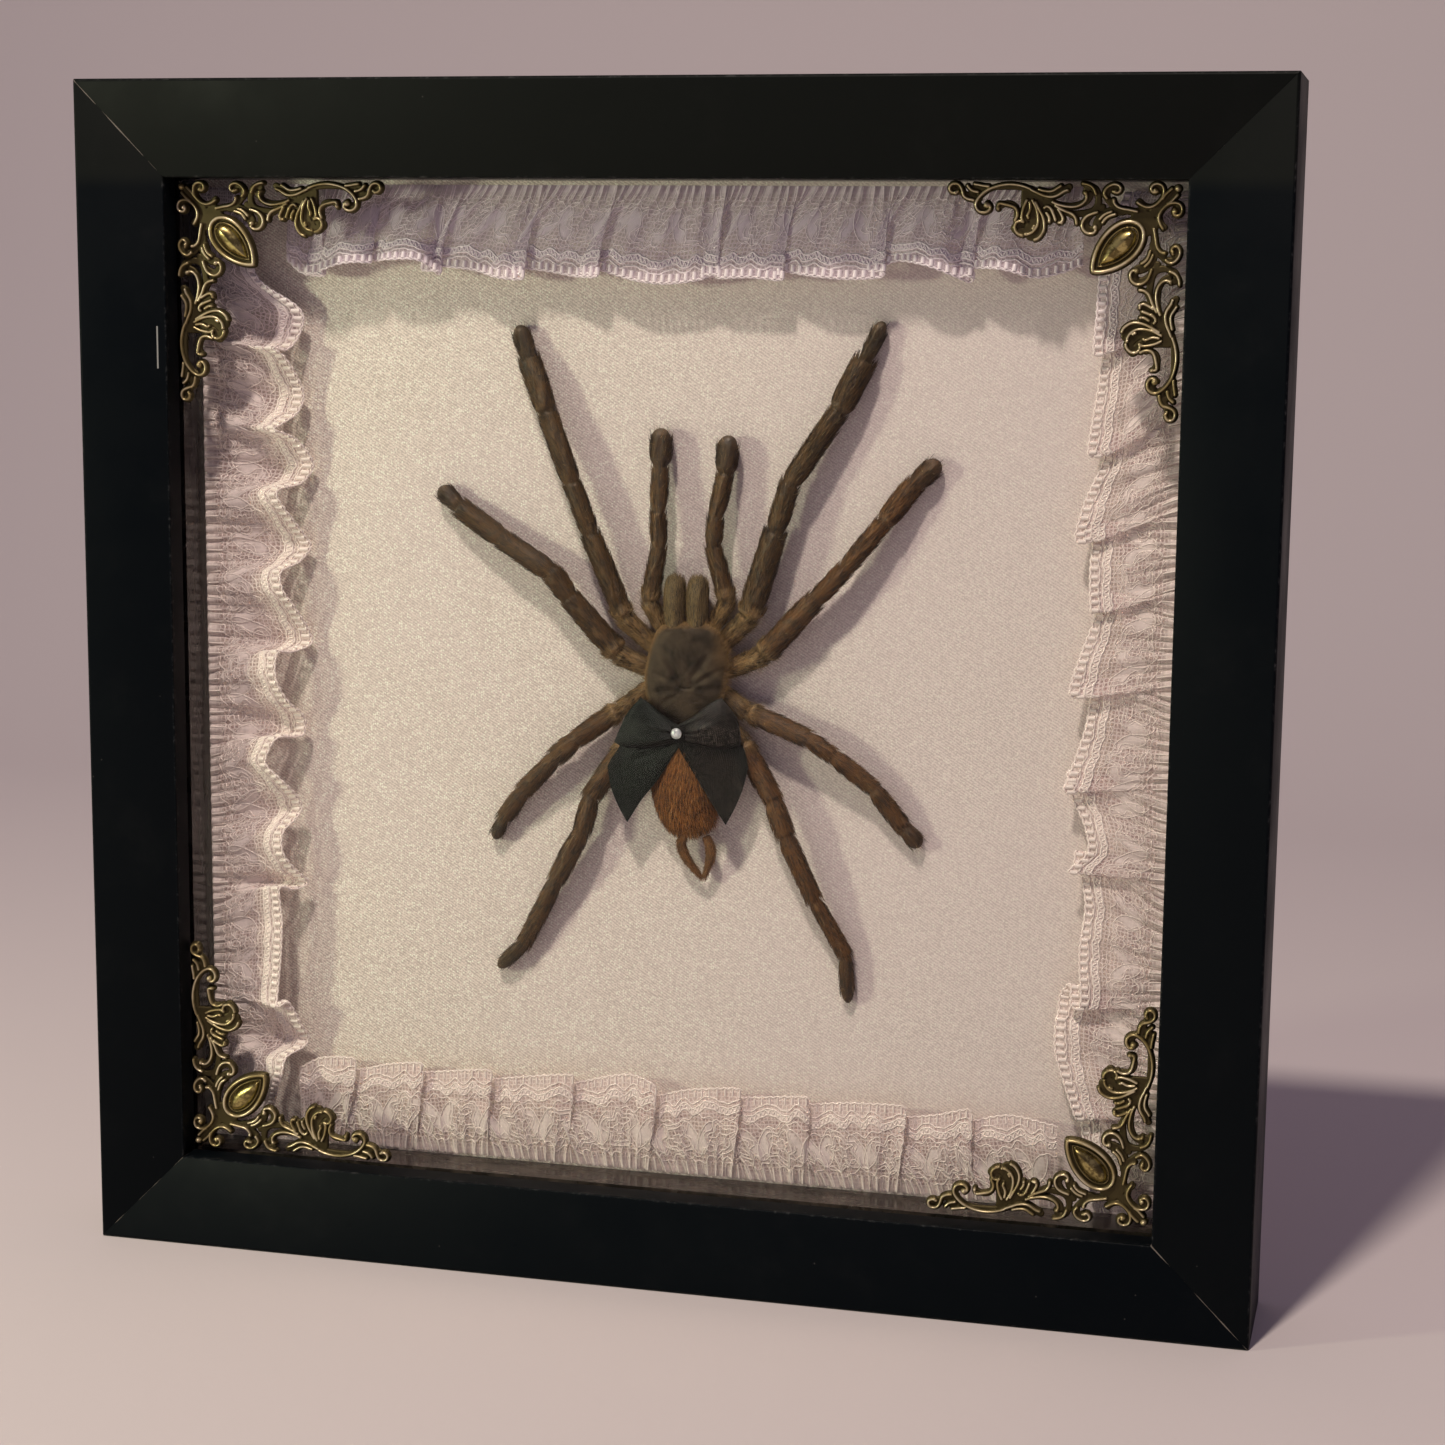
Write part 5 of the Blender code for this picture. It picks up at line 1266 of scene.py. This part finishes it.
def coat_colour(finish, shade):
    """The limbs' colour: olive brown to rust by tone, tan wool at the body and dark at the tips."""
    patchy = finish.product(finish.noise(420.0, 3.0, 0.6), 0.55)
    lifted = finish.step(finish.maths("ADD", finish.product(shade, 0.55), patchy), 0.30, 0.80)
    cool = finish.mix(lifted, (0.008, 0.0042, 0.0013), (0.112, 0.062, 0.018))
    warm = finish.mix(lifted, (0.012, 0.0045, 0.0012), (0.205, 0.086, 0.022))
    color = finish.mix(finish.attribute("tone"), cool, warm)
    wool = finish.mix(lifted, (0.020, 0.010, 0.004), (0.36, 0.215, 0.082))
    color = finish.mix(finish.product(finish.attribute("tan"), 0.9), color, wool)
    return finish.mix(finish.product(finish.attribute("tip"), 0.5), color, (0.016, 0.010, 0.0055))


limb_skin = Finish("limb_skin", 0.62)
fine = limb_skin.noise(1500.0, 4.0, 0.7)
ring_shade = limb_skin.product(limb_skin.attribute("seam"), 0.55)
limb_skin.set("Base Color", limb_skin.mix(ring_shade, coat_colour(limb_skin, fine), (0.014, 0.009, 0.005)))
limb_skin.bump(fine, 0.0002, 0.6)

limb_coat = Finish("limb_coat", 0.48)
limb_coat.set("Base Color", coat_colour(limb_coat, limb_coat.attribute("shade")))
limb_coat.set("Specular IOR Level", 0.4)

pale_hair = Finish("pale_hair")
color = pale_hair.mix(pale_hair.attribute("shade"), (0.11, 0.068, 0.028), (0.52, 0.37, 0.18))
pale_hair.set("Base Color", color)

for number, (name, (joints, halves, tone)) in enumerate(LIMBS.items()):
    skin = limb("skin_" + name, joints, halves, tone, 11 + number)
    coat = coat_of(skin, "coat_" + name, limb_coat, 5.5, 1.7, 0.13, 2.6, 0.42, 0.2, 100 + number)
    # The pale fringe grows mostly on the woolly stretches next to the body.
    tan = np.zeros(len(skin.data.vertices), np.float32)
    skin.data.attributes["tan"].data.foreach_get("value", tan)
    skin.data.attributes["cover"].data.foreach_set("value", 1 + 15 * tan)
    fringe = coat_of(skin, "fringe_" + name, pale_hair, 0.3, 1.7, 0.06, 0.8, 0.8, 0.1, 200 + number)
    for piece in (skin, coat, fringe):
        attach(piece, "root")
    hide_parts(name)

# ---------------------------------------------------------------- body of the spider
# The carapace is a dark domed shield, 20 by 16 mm, with grooves that radiate from a pit. Two
# jaws stand in front of it, and behind it the abdomen is a bag of orange-brown wool.
SHIELD_X, SHIELD_Z = 4.3, 4.6
PIT_X, PIT_Z = 4.6, 1.8
SHIELD_SIDES = 120
# The shield's edge seen from above, in millimetres.
SHIELD_EDGE = (
    (12.7, 5.1), (12.7, 8.1), (12.0, 11.3), (10.7, 13.5), (9.0, 14.5), (6.1, 14.8), (2.2, 14.6),
    (-0.5, 14.1), (-1.9, 12.7), (-3.0, 10.3), (-3.7, 7.4), (-4.2, 4.4), (-4.2, 1.4), (-3.6, -1.2),
    (-1.6, -3.6), (1.0, -5.2), (4.1, -6.0), (7.2, -5.2), (10.0, -3.2), (11.7, -0.3), (12.5, 2.2),
    (12.7, 5.1),
)
# The shield's section: share of the way out to its edge, and height.
SHIELD_PROFILE = (
    (0.0, 7.55), (0.12, 7.62), (0.42, 7.7), (0.72, 7.3), (0.88, 6.85), (0.95, 6.45), (1.0, 5.8),
    (0.985, 5.45), (0.93, 5.2), (0.62, 4.6), (0.5, 0.9), (0.3, 0.3), (0.0, 0.3),
)
# Its grooves: direction in degrees, depth and half width.
GROOVES = (
    (56, 0.30, 0.6), (124, 0.30, 0.6), (28, 0.26, 0.5), (158, 0.16, 0.5), (0, 0.20, 0.5), (190, 0.14, 0.5),
    (-32, 0.16, 0.5), (216, 0.14, 0.5),
)


def shield_relief(x, z):
    """Grooves, the raised head, the pit and the eyes of the carapace, in mm over its dome."""
    dx, dz = x - PIT_X, z - PIT_Z
    reach, turn = math.hypot(dx, dz), math.degrees(math.atan2(dz, dx))
    lift = 0.0
    for angle, deep, wide in GROOVES:
        off = (turn - angle + 180) % 360 - 180
        if abs(off) < 70:
            aside = reach * math.sin(math.radians(off))
            inner, outer = smooth(0.8, 2.2, reach), 1 - smooth(6.5, 9.5, reach)
            lift -= deep * bulge(aside, 0, wide) * inner * outer
            lift += deep * 0.45 * bulge(abs(aside), wide * 2, wide) * inner * outer
    head = math.exp(-((x - SHIELD_X) / 3.3) ** 2) * smooth(3.0, 8.0, z) * (1 - smooth(12.5, 15.0, z))
    pit = 0.5 * math.exp(-((dx / 1.15) ** 2) - ((dz - 0.12 * dx * dx) / 0.28) ** 2)
    eyes = 0.42 * math.exp(-(((x - 4.1) / 0.95) ** 2) - ((z - 13.4) / 0.55) ** 2)
    return lift + 0.42 * head - pit + eyes


shell = Finish("dark_shell")
cloudy, speckle = shell.noise(330.0, 4.0, 0.65), shell.noise(1900.0, 3.0, 0.7)
color = shell.mix(shell.step(cloudy, 0.3, 0.72), (0.010, 0.0066, 0.0042), (0.064, 0.045, 0.027))
color = shell.mix(shell.product(shell.attribute("tan"), speckle), color, (0.26, 0.15, 0.06))
shell.set("Base Color", color)
shell.set("Roughness", shell.step(speckle, 0.3, 0.7, 0.5, 0.7))
shell.set("Specular IOR Level", 0.12)
shell.bump(speckle, 0.00012, 0.7)

shield_edge, _ = path_through(SHIELD_EDGE, 0.05)
shield_edge = shield_edge[np.linspace(0, len(shield_edge) - 1, SHIELD_SIDES + 1).round().astype(int)[:-1]]
profile, _ = path_through(SHIELD_PROFILE, 0.022)
rings, shield_stored = [], {"tan": [], "way": [], "cover": [], "fringe": []}
for share, height in profile[1:-1]:
    ring = []
    top = height > 5.7
    for edge_x, edge_z in shield_edge:
        x = SHIELD_X + (edge_x - SHIELD_X) * max(share, 0.004)
        z = SHIELD_Z + (edge_z - SHIELD_Z) * max(share, 0.004)
        lift = shield_relief(x, z) * min(1.0, (1.02 - share) * 8) if top else 0.0
        ring.append(over_satin(x, z, height + lift))
        edge = smooth(0.86, 0.99, share) if height > 5.0 else 1.0
        edge *= smooth(-3.0, 0.5, z)
        right_front = smooth(9.0, 12.0, x) * smooth(3.0, 9.0, z) if top else 0.0
        fringe = edge * (0.15 + 0.85 * smooth(2.0, 11.0, x)) if height > 4.9 else 0.0
        here = {
            "tan": max(edge, right_front * 0.6),
            "way": tuple(Vector((x - PIT_X, 0, z - PIT_Z)).normalized()),
            "cover": 0.22 + 0.78 * edge * smooth(-5.0, 12.0, x) if height > 4.4 else 0.0,
            "fringe": fringe + right_front * 0.7,
        }
        for label, value in here.items():
            shield_stored[label].append(value)
    rings.append(ring)
shield = mesh_object("carapace", *joined_rings(rings), shell.material, closed=True)
set_attributes(shield, **shield_stored)

down = Finish("shield_down")
dark_down = down.mix(down.attribute("shade"), (0.010, 0.007, 0.0045), (0.110, 0.080, 0.048))
tan_down = down.mix(down.attribute("shade"), (0.12, 0.065, 0.022), (0.42, 0.26, 0.11))
down.set("Base Color", down.mix(down.attribute("tan"), dark_down, tan_down))
down.set("Specular IOR Level", 0.15)
short_down = coat_of(shield, "shield_down", down, 8.0, 0.75, 0.07, 2.6, 0.5, 0.1, 301)
shield.data.attributes["cover"].data.foreach_set("value", np.array(shield_stored["fringe"], np.float32))
edge_down = coat_of(shield, "shield_fringe", down, 10.0, 1.8, 0.08, 1.6, 0.9, 0.35, 302)
for piece in (shield, short_down, edge_down):
    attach(piece, "root")
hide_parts("front_body")


def turned_body(name, stations, sides, step, wrinkle, seed, tone, finish):
    """A body of oval sections through stations of place, height, half width and half height."""
    dice = random.Random(seed)
    waves = []
    for _ in range(7):
        lobes, phase = dice.randint(2, 9), dice.uniform(0, 6.28)
        waves.append((lobes, phase, dice.uniform(0.2, 1.0), dice.uniform(0.3, 1.4)))
    rows, _ = path_through(stations, step)
    rings, ways = [], []
    for i, row in enumerate(rows):
        ahead = over_satin(*rows[min(i + 1, len(rows) - 1)][:3])
        behind = over_satin(*rows[max(i - 1, 0)][:3])
        way = (ahead - behind).normalized()
        side = way.cross(Vector((0, 1, 0))).normalized()
        rise = side.cross(way).normalized()
        ring = []
        for a in [TAU * j / sides for j in range(sides)]:
            waved = (w * math.sin(k * a + phase + i * step * pace) for k, phase, w, pace in waves)
            dent = wrinkle * sum(waved)
            wide, tall = (max(half, 0.05) * (1 + dent) * MM for half in row[3:])
            ring.append(over_satin(*row[:3]) + side * (wide * math.cos(a)) + rise * (tall * math.sin(a)))
        rings.append(ring)
        ways += [tuple(way)] * sides
    made = mesh_object(name, *joined_rings(rings), finish.material, closed=True)
    count = len(ways)
    even = {"cover": 1.0, "tone": tone, "tan": 0.0, "tip": 0.0}
    set_attributes(made, way=ways, **{label: [value] * count for label, value in even.items()})
    return made


# The jaws: upright fibres on the skin under a close combed coat.
jaw_skin = Finish("jaw_skin", 0.6)
fibre = jaw_skin.noise(1400.0, 3.0, 0.6, (1.0, 1.0, 0.12))
color = jaw_skin.mix(jaw_skin.step(fibre, 0.3, 0.7), (0.014, 0.009, 0.004), (0.17, 0.115, 0.048))
jaw_skin.set("Base Color", color)
jaw_skin.bump(fibre, 0.0002, 0.7)
jaw_coat = Finish("jaw_coat")
color = jaw_coat.mix(jaw_coat.attribute("shade"), (0.016, 0.010, 0.0036), (0.33, 0.215, 0.082))
jaw_coat.set("Base Color", color)
JAW = (
    (12.6, 4.2, 1.7, 1.9), (15.4, 4.7, 2.1, 2.5), (19.0, 5.0, 2.15, 2.7), (21.6, 4.7, 2.0, 2.5),
    (22.9, 4.3, 1.5, 1.8), (23.5, 4.1, 0.7, 0.8),
)
for side, across in (("left", 1.65), ("right", 6.3)):
    jaw = turned_body("jaw_" + side, [(across, *row) for row in JAW], 36, 0.25, 0.012, 21, 0.3, jaw_skin)
    coat = coat_of(jaw, "jaw_coat_" + side, jaw_coat, 16.0, 1.2, 0.08, 3.2, 0.3, 0.3, 310 + int(across))
    for piece in (jaw, coat):
        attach(piece, "root")
    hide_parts("chelicera_" + side)

# The abdomen and the two spinnerets behind it: a golden highlight painted at the front, and duller at the
# rear.
wool_skin = Finish("wool_skin", 0.75)
curly = wool_skin.noise(520.0, 4.0, 0.7)
color = wool_skin.mix(wool_skin.step(curly, 0.3, 0.7), (0.060, 0.022, 0.005), (0.24, 0.090, 0.020))
wool_skin.set("Base Color", color)
wool_skin.bump(curly, 0.0004, 0.8)
wool = Finish("orange_wool")
shade, up = wool.attribute("shade"), wool.parts(wool.where)[2]
lifted = wool.maths("ADD", wool.product(shade, 0.55), wool.product(wool.noise(600.0, 3.0, 0.6), 0.55))
color = wool.mix(wool.step(lifted, 0.31, 0.76), (0.042, 0.014, 0.0030), (0.42, 0.150, 0.028))
color = wool.mix(wool.product(wool.step(shade, 0.72, 0.95), 0.7), color, (0.55, 0.27, 0.075))
# Painted highlight: golden over the upper front of the abdomen.
color = wool.mix(wool.product(wool.step(up, 0.104, 0.111), 0.55), color, (0.56, 0.25, 0.068))
color = wool.mix(wool.product(wool.step(up, 0.089, 0.094, 1.0, 0.0), 0.55), color, (0.20, 0.115, 0.05))
wool.set("Base Color", color)
# Each body's stations; the sides and the step of its mesh, its wrinkles and their seed; and the
# density, length, thickness, lean, scatter and bend of its wool, with their seed.
ABDOMEN = (
    (4.2, -5.4, 3.0, 1.0, 0.9), (4.1, -6.6, 3.2, 3.2, 2.2), (3.9, -9.6, 3.5, 5.6, 3.0),
    (3.7, -14.0, 3.7, 6.8, 3.3), (3.8, -19.0, 3.6, 7.0, 3.2), (4.4, -23.5, 3.3, 6.0, 2.9),
    (5.2, -26.6, 2.9, 4.3, 2.4), (5.6, -28.0, 2.8, 2.6, 1.8),
)
SPINNERET_LEFT = (
    (3.4, -28.9, 3.4, 0.75, 0.7), (2.9, -30.6, 3.3, 0.85, 0.8), (4.0, -33.6, 3.0, 0.78, 0.7),
    (6.9, -37.4, 2.4, 0.38, 0.35),
)
SPINNERET_RIGHT = (
    (8.1, -28.6, 3.4, 0.75, 0.7), (8.9, -31.0, 3.3, 0.88, 0.8), (8.8, -33.4, 3.0, 0.78, 0.7),
    (7.5, -37.3, 2.4, 0.38, 0.35),
)
for name, stations, form, hairs in (
    ("abdomen", ABDOMEN, (64, 0.3, 0.02, 31), (17.0, 1.7, 0.12, 1.8, 0.75, 0.3, 320)),
    ("spinneret_left", SPINNERET_LEFT, (24, 0.2, 0.03, 33), (26.0, 1.0, 0.08, 1.9, 0.7, 0.2, 330)),
    ("spinneret_right", SPINNERET_RIGHT, (24, 0.2, 0.03, 34), (26.0, 1.0, 0.08, 1.9, 0.7, 0.2, 331)),
):
    skin = turned_body(name + "_skin", stations, *form, 1.0, wool_skin)
    for piece in (skin, coat_of(skin, name + "_wool", wool, *hairs)):
        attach(piece, "root")
    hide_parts(name)

# ---------------------------------------------------------------- ribbon bow
# A bow of black woven ribbon, 10 mm wide, glued over the waist: two flattened loops and two tails
# cut to points. Creases run out from the knot, and the cut edges are sealed to a thin bead.
BOW_PARTS = {
    # name: upper side outwards from the knot, far side upwards, lower side outwards; lift at the
    # knot and at the far end, height of its crown, and whether it is a folded loop.
    "loop_left": (
        ((3.6, -5.6), (0.3, -3.7), (-2.2, -1.6), (-4.4, -0.3)),
        ((-9.9, -9.6), (-8.7, -6.8), (-7.0, -3.4), (-4.4, -0.3)),
        ((3.6, -8.4), (0.2, -9.6), (-4.2, -10.5), (-7.8, -10.5), (-9.9, -9.6)),
        8.3, 8.15, 1.3, True,
    ),
    "loop_right": (
        ((3.0, -5.6), (6.4, -3.5), (9.4, -1.0), (12.2, 0.4)),
        ((16.1, -8.9), (15.9, -5.8), (14.7, -2.6), (12.2, 0.4)),
        ((3.0, -8.4), (7.4, -9.3), (12.2, -9.9), (16.1, -8.9)),
        8.25, 8.15, 1.25, True,
    ),
    "tail_left": (
        ((3.4, -7.4), (-3.2, -8.6), (-8.3, -9.7), (-10.0, -11.6), (-11.9, -14.6)),
        ((-7.5, -26.0), (-9.4, -22.6), (-10.9, -18.8), (-11.6, -14.6)),
        ((3.6, -9.6), (1.9, -12.2), (-1.0, -16.8), (-4.6, -21.4), (-7.5, -26.0)),
        7.3, 6.8, 0.35, False,
    ),
    "tail_right": (
        ((3.4, -7.4), (9.2, -8.2), (15.7, -8.8), (17.4, -13.4)),
        ((12.9, -25.4), (14.7, -22.0), (16.4, -17.8), (17.4, -13.4)),
        ((3.0, -9.6), (4.0, -11.6), (6.6, -15.6), (9.8, -20.8), (12.9, -25.4)),
        7.35, 6.85, 0.35, False,
    ),
}
BOW_LONG, BOW_WIDE, BOW_TOP = 70, 44, 9.62
RIBBON_LONG, RIBBON_WIDE = 13.0, 9.5


def spread(points, count):
    """That many points spaced evenly along a smooth curve."""
    fine, _ = path_through(points, 0.05)
    return fine[np.linspace(0, len(fine) - 1, count).round().astype(int)]


def ribbon_part(name, upper, far, lower, lift, far_lift, crown, is_loop, seed):
    """A closed thin shell over a patch between four curves, with creases fanning from the knot."""
    top_line, low_line = spread(upper, BOW_LONG + 1), spread(lower, BOW_LONG + 1)
    far_line = spread(far, BOW_WIDE + 1)
    near_line = np.linspace(low_line[0], top_line[0], BOW_WIDE + 1)
    dice = random.Random(seed)
    creases = []
    for _ in range(7):
        creases.append((dice.uniform(0.1, 0.9), dice.uniform(0.05, 0.12), dice.uniform(-0.35, 0.3)))
    front, back, cloth, crease = [], [], [], []
    for i in range(BOW_LONG + 1):
        u = i / BOW_LONG
        for j in range(BOW_WIDE + 1):
            v = j / BOW_WIDE
            # Painted shade: dark along a loop's lower edge, and across a tail's upper part where the loop
            # overhangs it.
            crease.append(1 - smooth(0.02, 0.14, v) if is_loop else smooth(0.66, 0.86, v))
            spot = (1 - v) * low_line[i] + v * top_line[i] + (1 - u) * near_line[j] + u * far_line[j]
            spot = spot - (
                (1 - u) * (1 - v) * low_line[0] + (1 - u) * v * top_line[0]
                + u * (1 - v) * low_line[-1] + u * v * top_line[-1]
            )
            arch = math.sin(math.pi * v) ** 0.6
            swell = crown * arch * (smooth(0.0, 0.35, u) * (1 - 0.55 * smooth(0.6, 1.0, u)))
            if is_loop:
                swell *= 1.0 - smooth(0.9, 1.0, u) * 0.75
            inner, outer = smooth(0.02, 0.15, u), 1 - smooth(0.35, 0.85, u)
            folds = sum(deep * bulge(v, at, wide) * inner * outer for at, wide, deep in creases)
            height = lift + (far_lift - lift) * u + swell + folds + 0.1 * math.sin(5 * u + 3 * v)
            height = min(height, BOW_TOP)
            thick = 0.5 * (0.35 + 0.65 * arch) if is_loop else 0.26
            front.append(over_satin(spot[0], spot[1], height))
            back.append(over_satin(spot[0], spot[1], height - thick))
            cloth.append((u * RIBBON_LONG * MM, v * RIBBON_WIDE * MM))
    count = len(front)
    faces = []
    cells, border = grid(BOW_LONG, BOW_WIDE)
    for a, b, c, d in cells:
        faces += [(a, b, c, d), (count + a, count + d, count + c, count + b)]
    for a, b in zip(border, border[1:] + border[:1]):
        faces.append((a, b, count + b, count + a))
    made = mesh_object(name, front + back, faces, ribbon.material, closed=True, sharp=55)
    set_cloth_map(made, cloth + cloth)
    set_attributes(made, crease=crease + crease)
    return made


ribbon = Finish("black_ribbon")
u, v, _ = ribbon.parts(ribbon.out("ShaderNodeUVMap", uv_map="cloth"))
x, y, z = ribbon.parts(ribbon.where)


def wavy(line):
    """A row of soft waves along a line, from 0 to 1."""
    return ribbon.maths("MULTIPLY_ADD", ribbon.maths("SINE", line), 0.5, 0.5)


ridge = wavy(ribbon.maths("ADD", ribbon.product(u, TAU / 0.00042), ribbon.product(v, TAU / 0.0006)))
lint = ribbon.noise(1300.0, 3.0, 0.7)
# Painted light: greenish black on the left and brownish black on the right, as the sheen shifts under the
# lamps; the glints follow the same split.
painted_side_tint = ribbon.step(x, -0.002, 0.010)
base = ribbon.mix(painted_side_tint, (0.0022, 0.0034, 0.0026), (0.003, 0.002, 0.0015))
painted_glint = ribbon.mix(painted_side_tint, (0.018, 0.025, 0.020), (0.042, 0.032, 0.025))
# Painted highlights: glints along the weave's ridges, in patches.
color = ribbon.mix(ribbon.product(ridge, ribbon.step(lint, 0.42, 0.7)), base, painted_glint)
# Painted highlights: pale glinting dots of the weave on the lower part of the right half.
painted_glint_dots = ribbon.product(wavy(ribbon.product(u, TAU / 0.00046)), wavy(ribbon.product(v, TAU / 0.00042)))
lower_right = ribbon.product(
    ribbon.step(z, 0.1142, 0.1155, 1.0, 0.15), ribbon.step(x, 0.005, 0.008, 0.1, 1.0),
    ribbon.step(z, 0.1095, 0.1112, 0.12, 1.0),
)
shown = ribbon.product(lower_right, ribbon.step(lint, 0.42, 0.60))
color = ribbon.mix(ribbon.product(ribbon.step(painted_glint_dots, 0.5, 0.9), shown), color, (0.22, 0.19, 0.16))
# Painted shade: darker where a loop folds under and on the tails beneath the loops.
shaded = ribbon.product(ribbon.attribute("crease"), 0.85)
ribbon.set("Base Color", ribbon.mix(shaded, color, (0.0012, 0.0014, 0.0012)))
ribbon.set("Roughness", ribbon.step(lint, 0.3, 0.7, 0.34, 0.5))
ribbon.set("Specular IOR Level", 0.14)
ribbon.bump(ridge, 0.00006, 0.8)

loop_left, *others = [
    ribbon_part(name, *values, 40 + number) for number, (name, values) in enumerate(BOW_PARTS.items())
]
KNOT_STEPS, KNOT_SIDES, KNOT_Z, KNOT_HEIGHT = 12, 28, -7.1, 8.62
rings = []
for t in [i / KNOT_STEPS for i in range(KNOT_STEPS + 1)]:
    x, half_z = 2.1 + 2.6 * t, 1.5 - 0.5 * math.sin(math.pi * t)
    ring = []
    for a in [TAU * j / KNOT_SIDES for j in range(KNOT_SIDES)]:
        pucker = 1 + 0.10 * math.cos(6 * a + 1.0)
        z, height = KNOT_Z + half_z * pucker * math.cos(a), KNOT_HEIGHT + 0.62 * pucker * math.sin(a)
        ring.append(over_satin(x, z, height))
    rings.append(ring)
knot = mesh_object("bow_knot", *joined_rings(rings), ribbon.material, closed=True)
knot.data.uv_layers.new(name="cloth")
others.append(knot)
for piece in (loop_left, *others):
    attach(piece, "root")
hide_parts("ribbon_bow")

# ---------------------------------------------------------------- rhinestone
# A round glass stone, 2.4 mm across, in a thin silver cup glued on the knot. Its flat table is
# cut round with facets; the white light its foil throws back, and its facets' flashes, are painted into its
# colour.
STONE_X, STONE_Z = 3.3, -7.0
# Height and radius of each ring, and how far it is turned, as a share of one side.
STONE = ((9.25, 0.8, 0.0), (9.42, 1.0, 0.0), (9.55, 1.0, 0.5), (9.78, 0.72, 0.0), (9.88, 0.48, 0.5))
CUP = ((9.18, 0.6), (9.2, 0.98), (9.38, 1.1), (9.55, 1.08), (9.57, 1.01), (9.42, 0.94))


def turned_rings(profile, sides):
    rings = []
    for height, radius, *turn in profile:
        turns = [TAU * (j + sum(turn)) / sides for j in range(sides)]
        ring = [(STONE_X + radius * math.cos(a), STONE_Z + radius * math.sin(a)) for a in turns]
        rings.append([over_satin(x, z, height) for x, z in ring])
    return joined_rings(rings)


crystal = Finish("foiled_glass", 0.12, 0.55)
cell = crystal.parts(crystal.cells(2300.0)["Color"])
# Painted reflection: near-white colour with bluish green cells for the foil's light and the facets'
# flashes.
crystal.set("Base Color", crystal.mix(cell[0], (0.62, 0.70, 0.70), (1.0, 1.0, 0.98)))
crystal.bump(cell[1], 0.00012, 0.8)
stone = mesh_object(
    "rhinestone_glass", *turned_rings(STONE, 16), crystal.material, closed=True, smooth=False
)
silver = Finish("silver_cup", 0.28, 1.0)
color = silver.mix(silver.noise(1400.0, 3.0, 0.6), (0.40, 0.40, 0.38), (0.72, 0.72, 0.70))
silver.set("Base Color", color)
cup = mesh_object("rhinestone_cup", *turned_rings(CUP, 48), silver.material, closed=True)
for piece in (stone, cup):
    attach(piece, "root")
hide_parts("rhinestone")
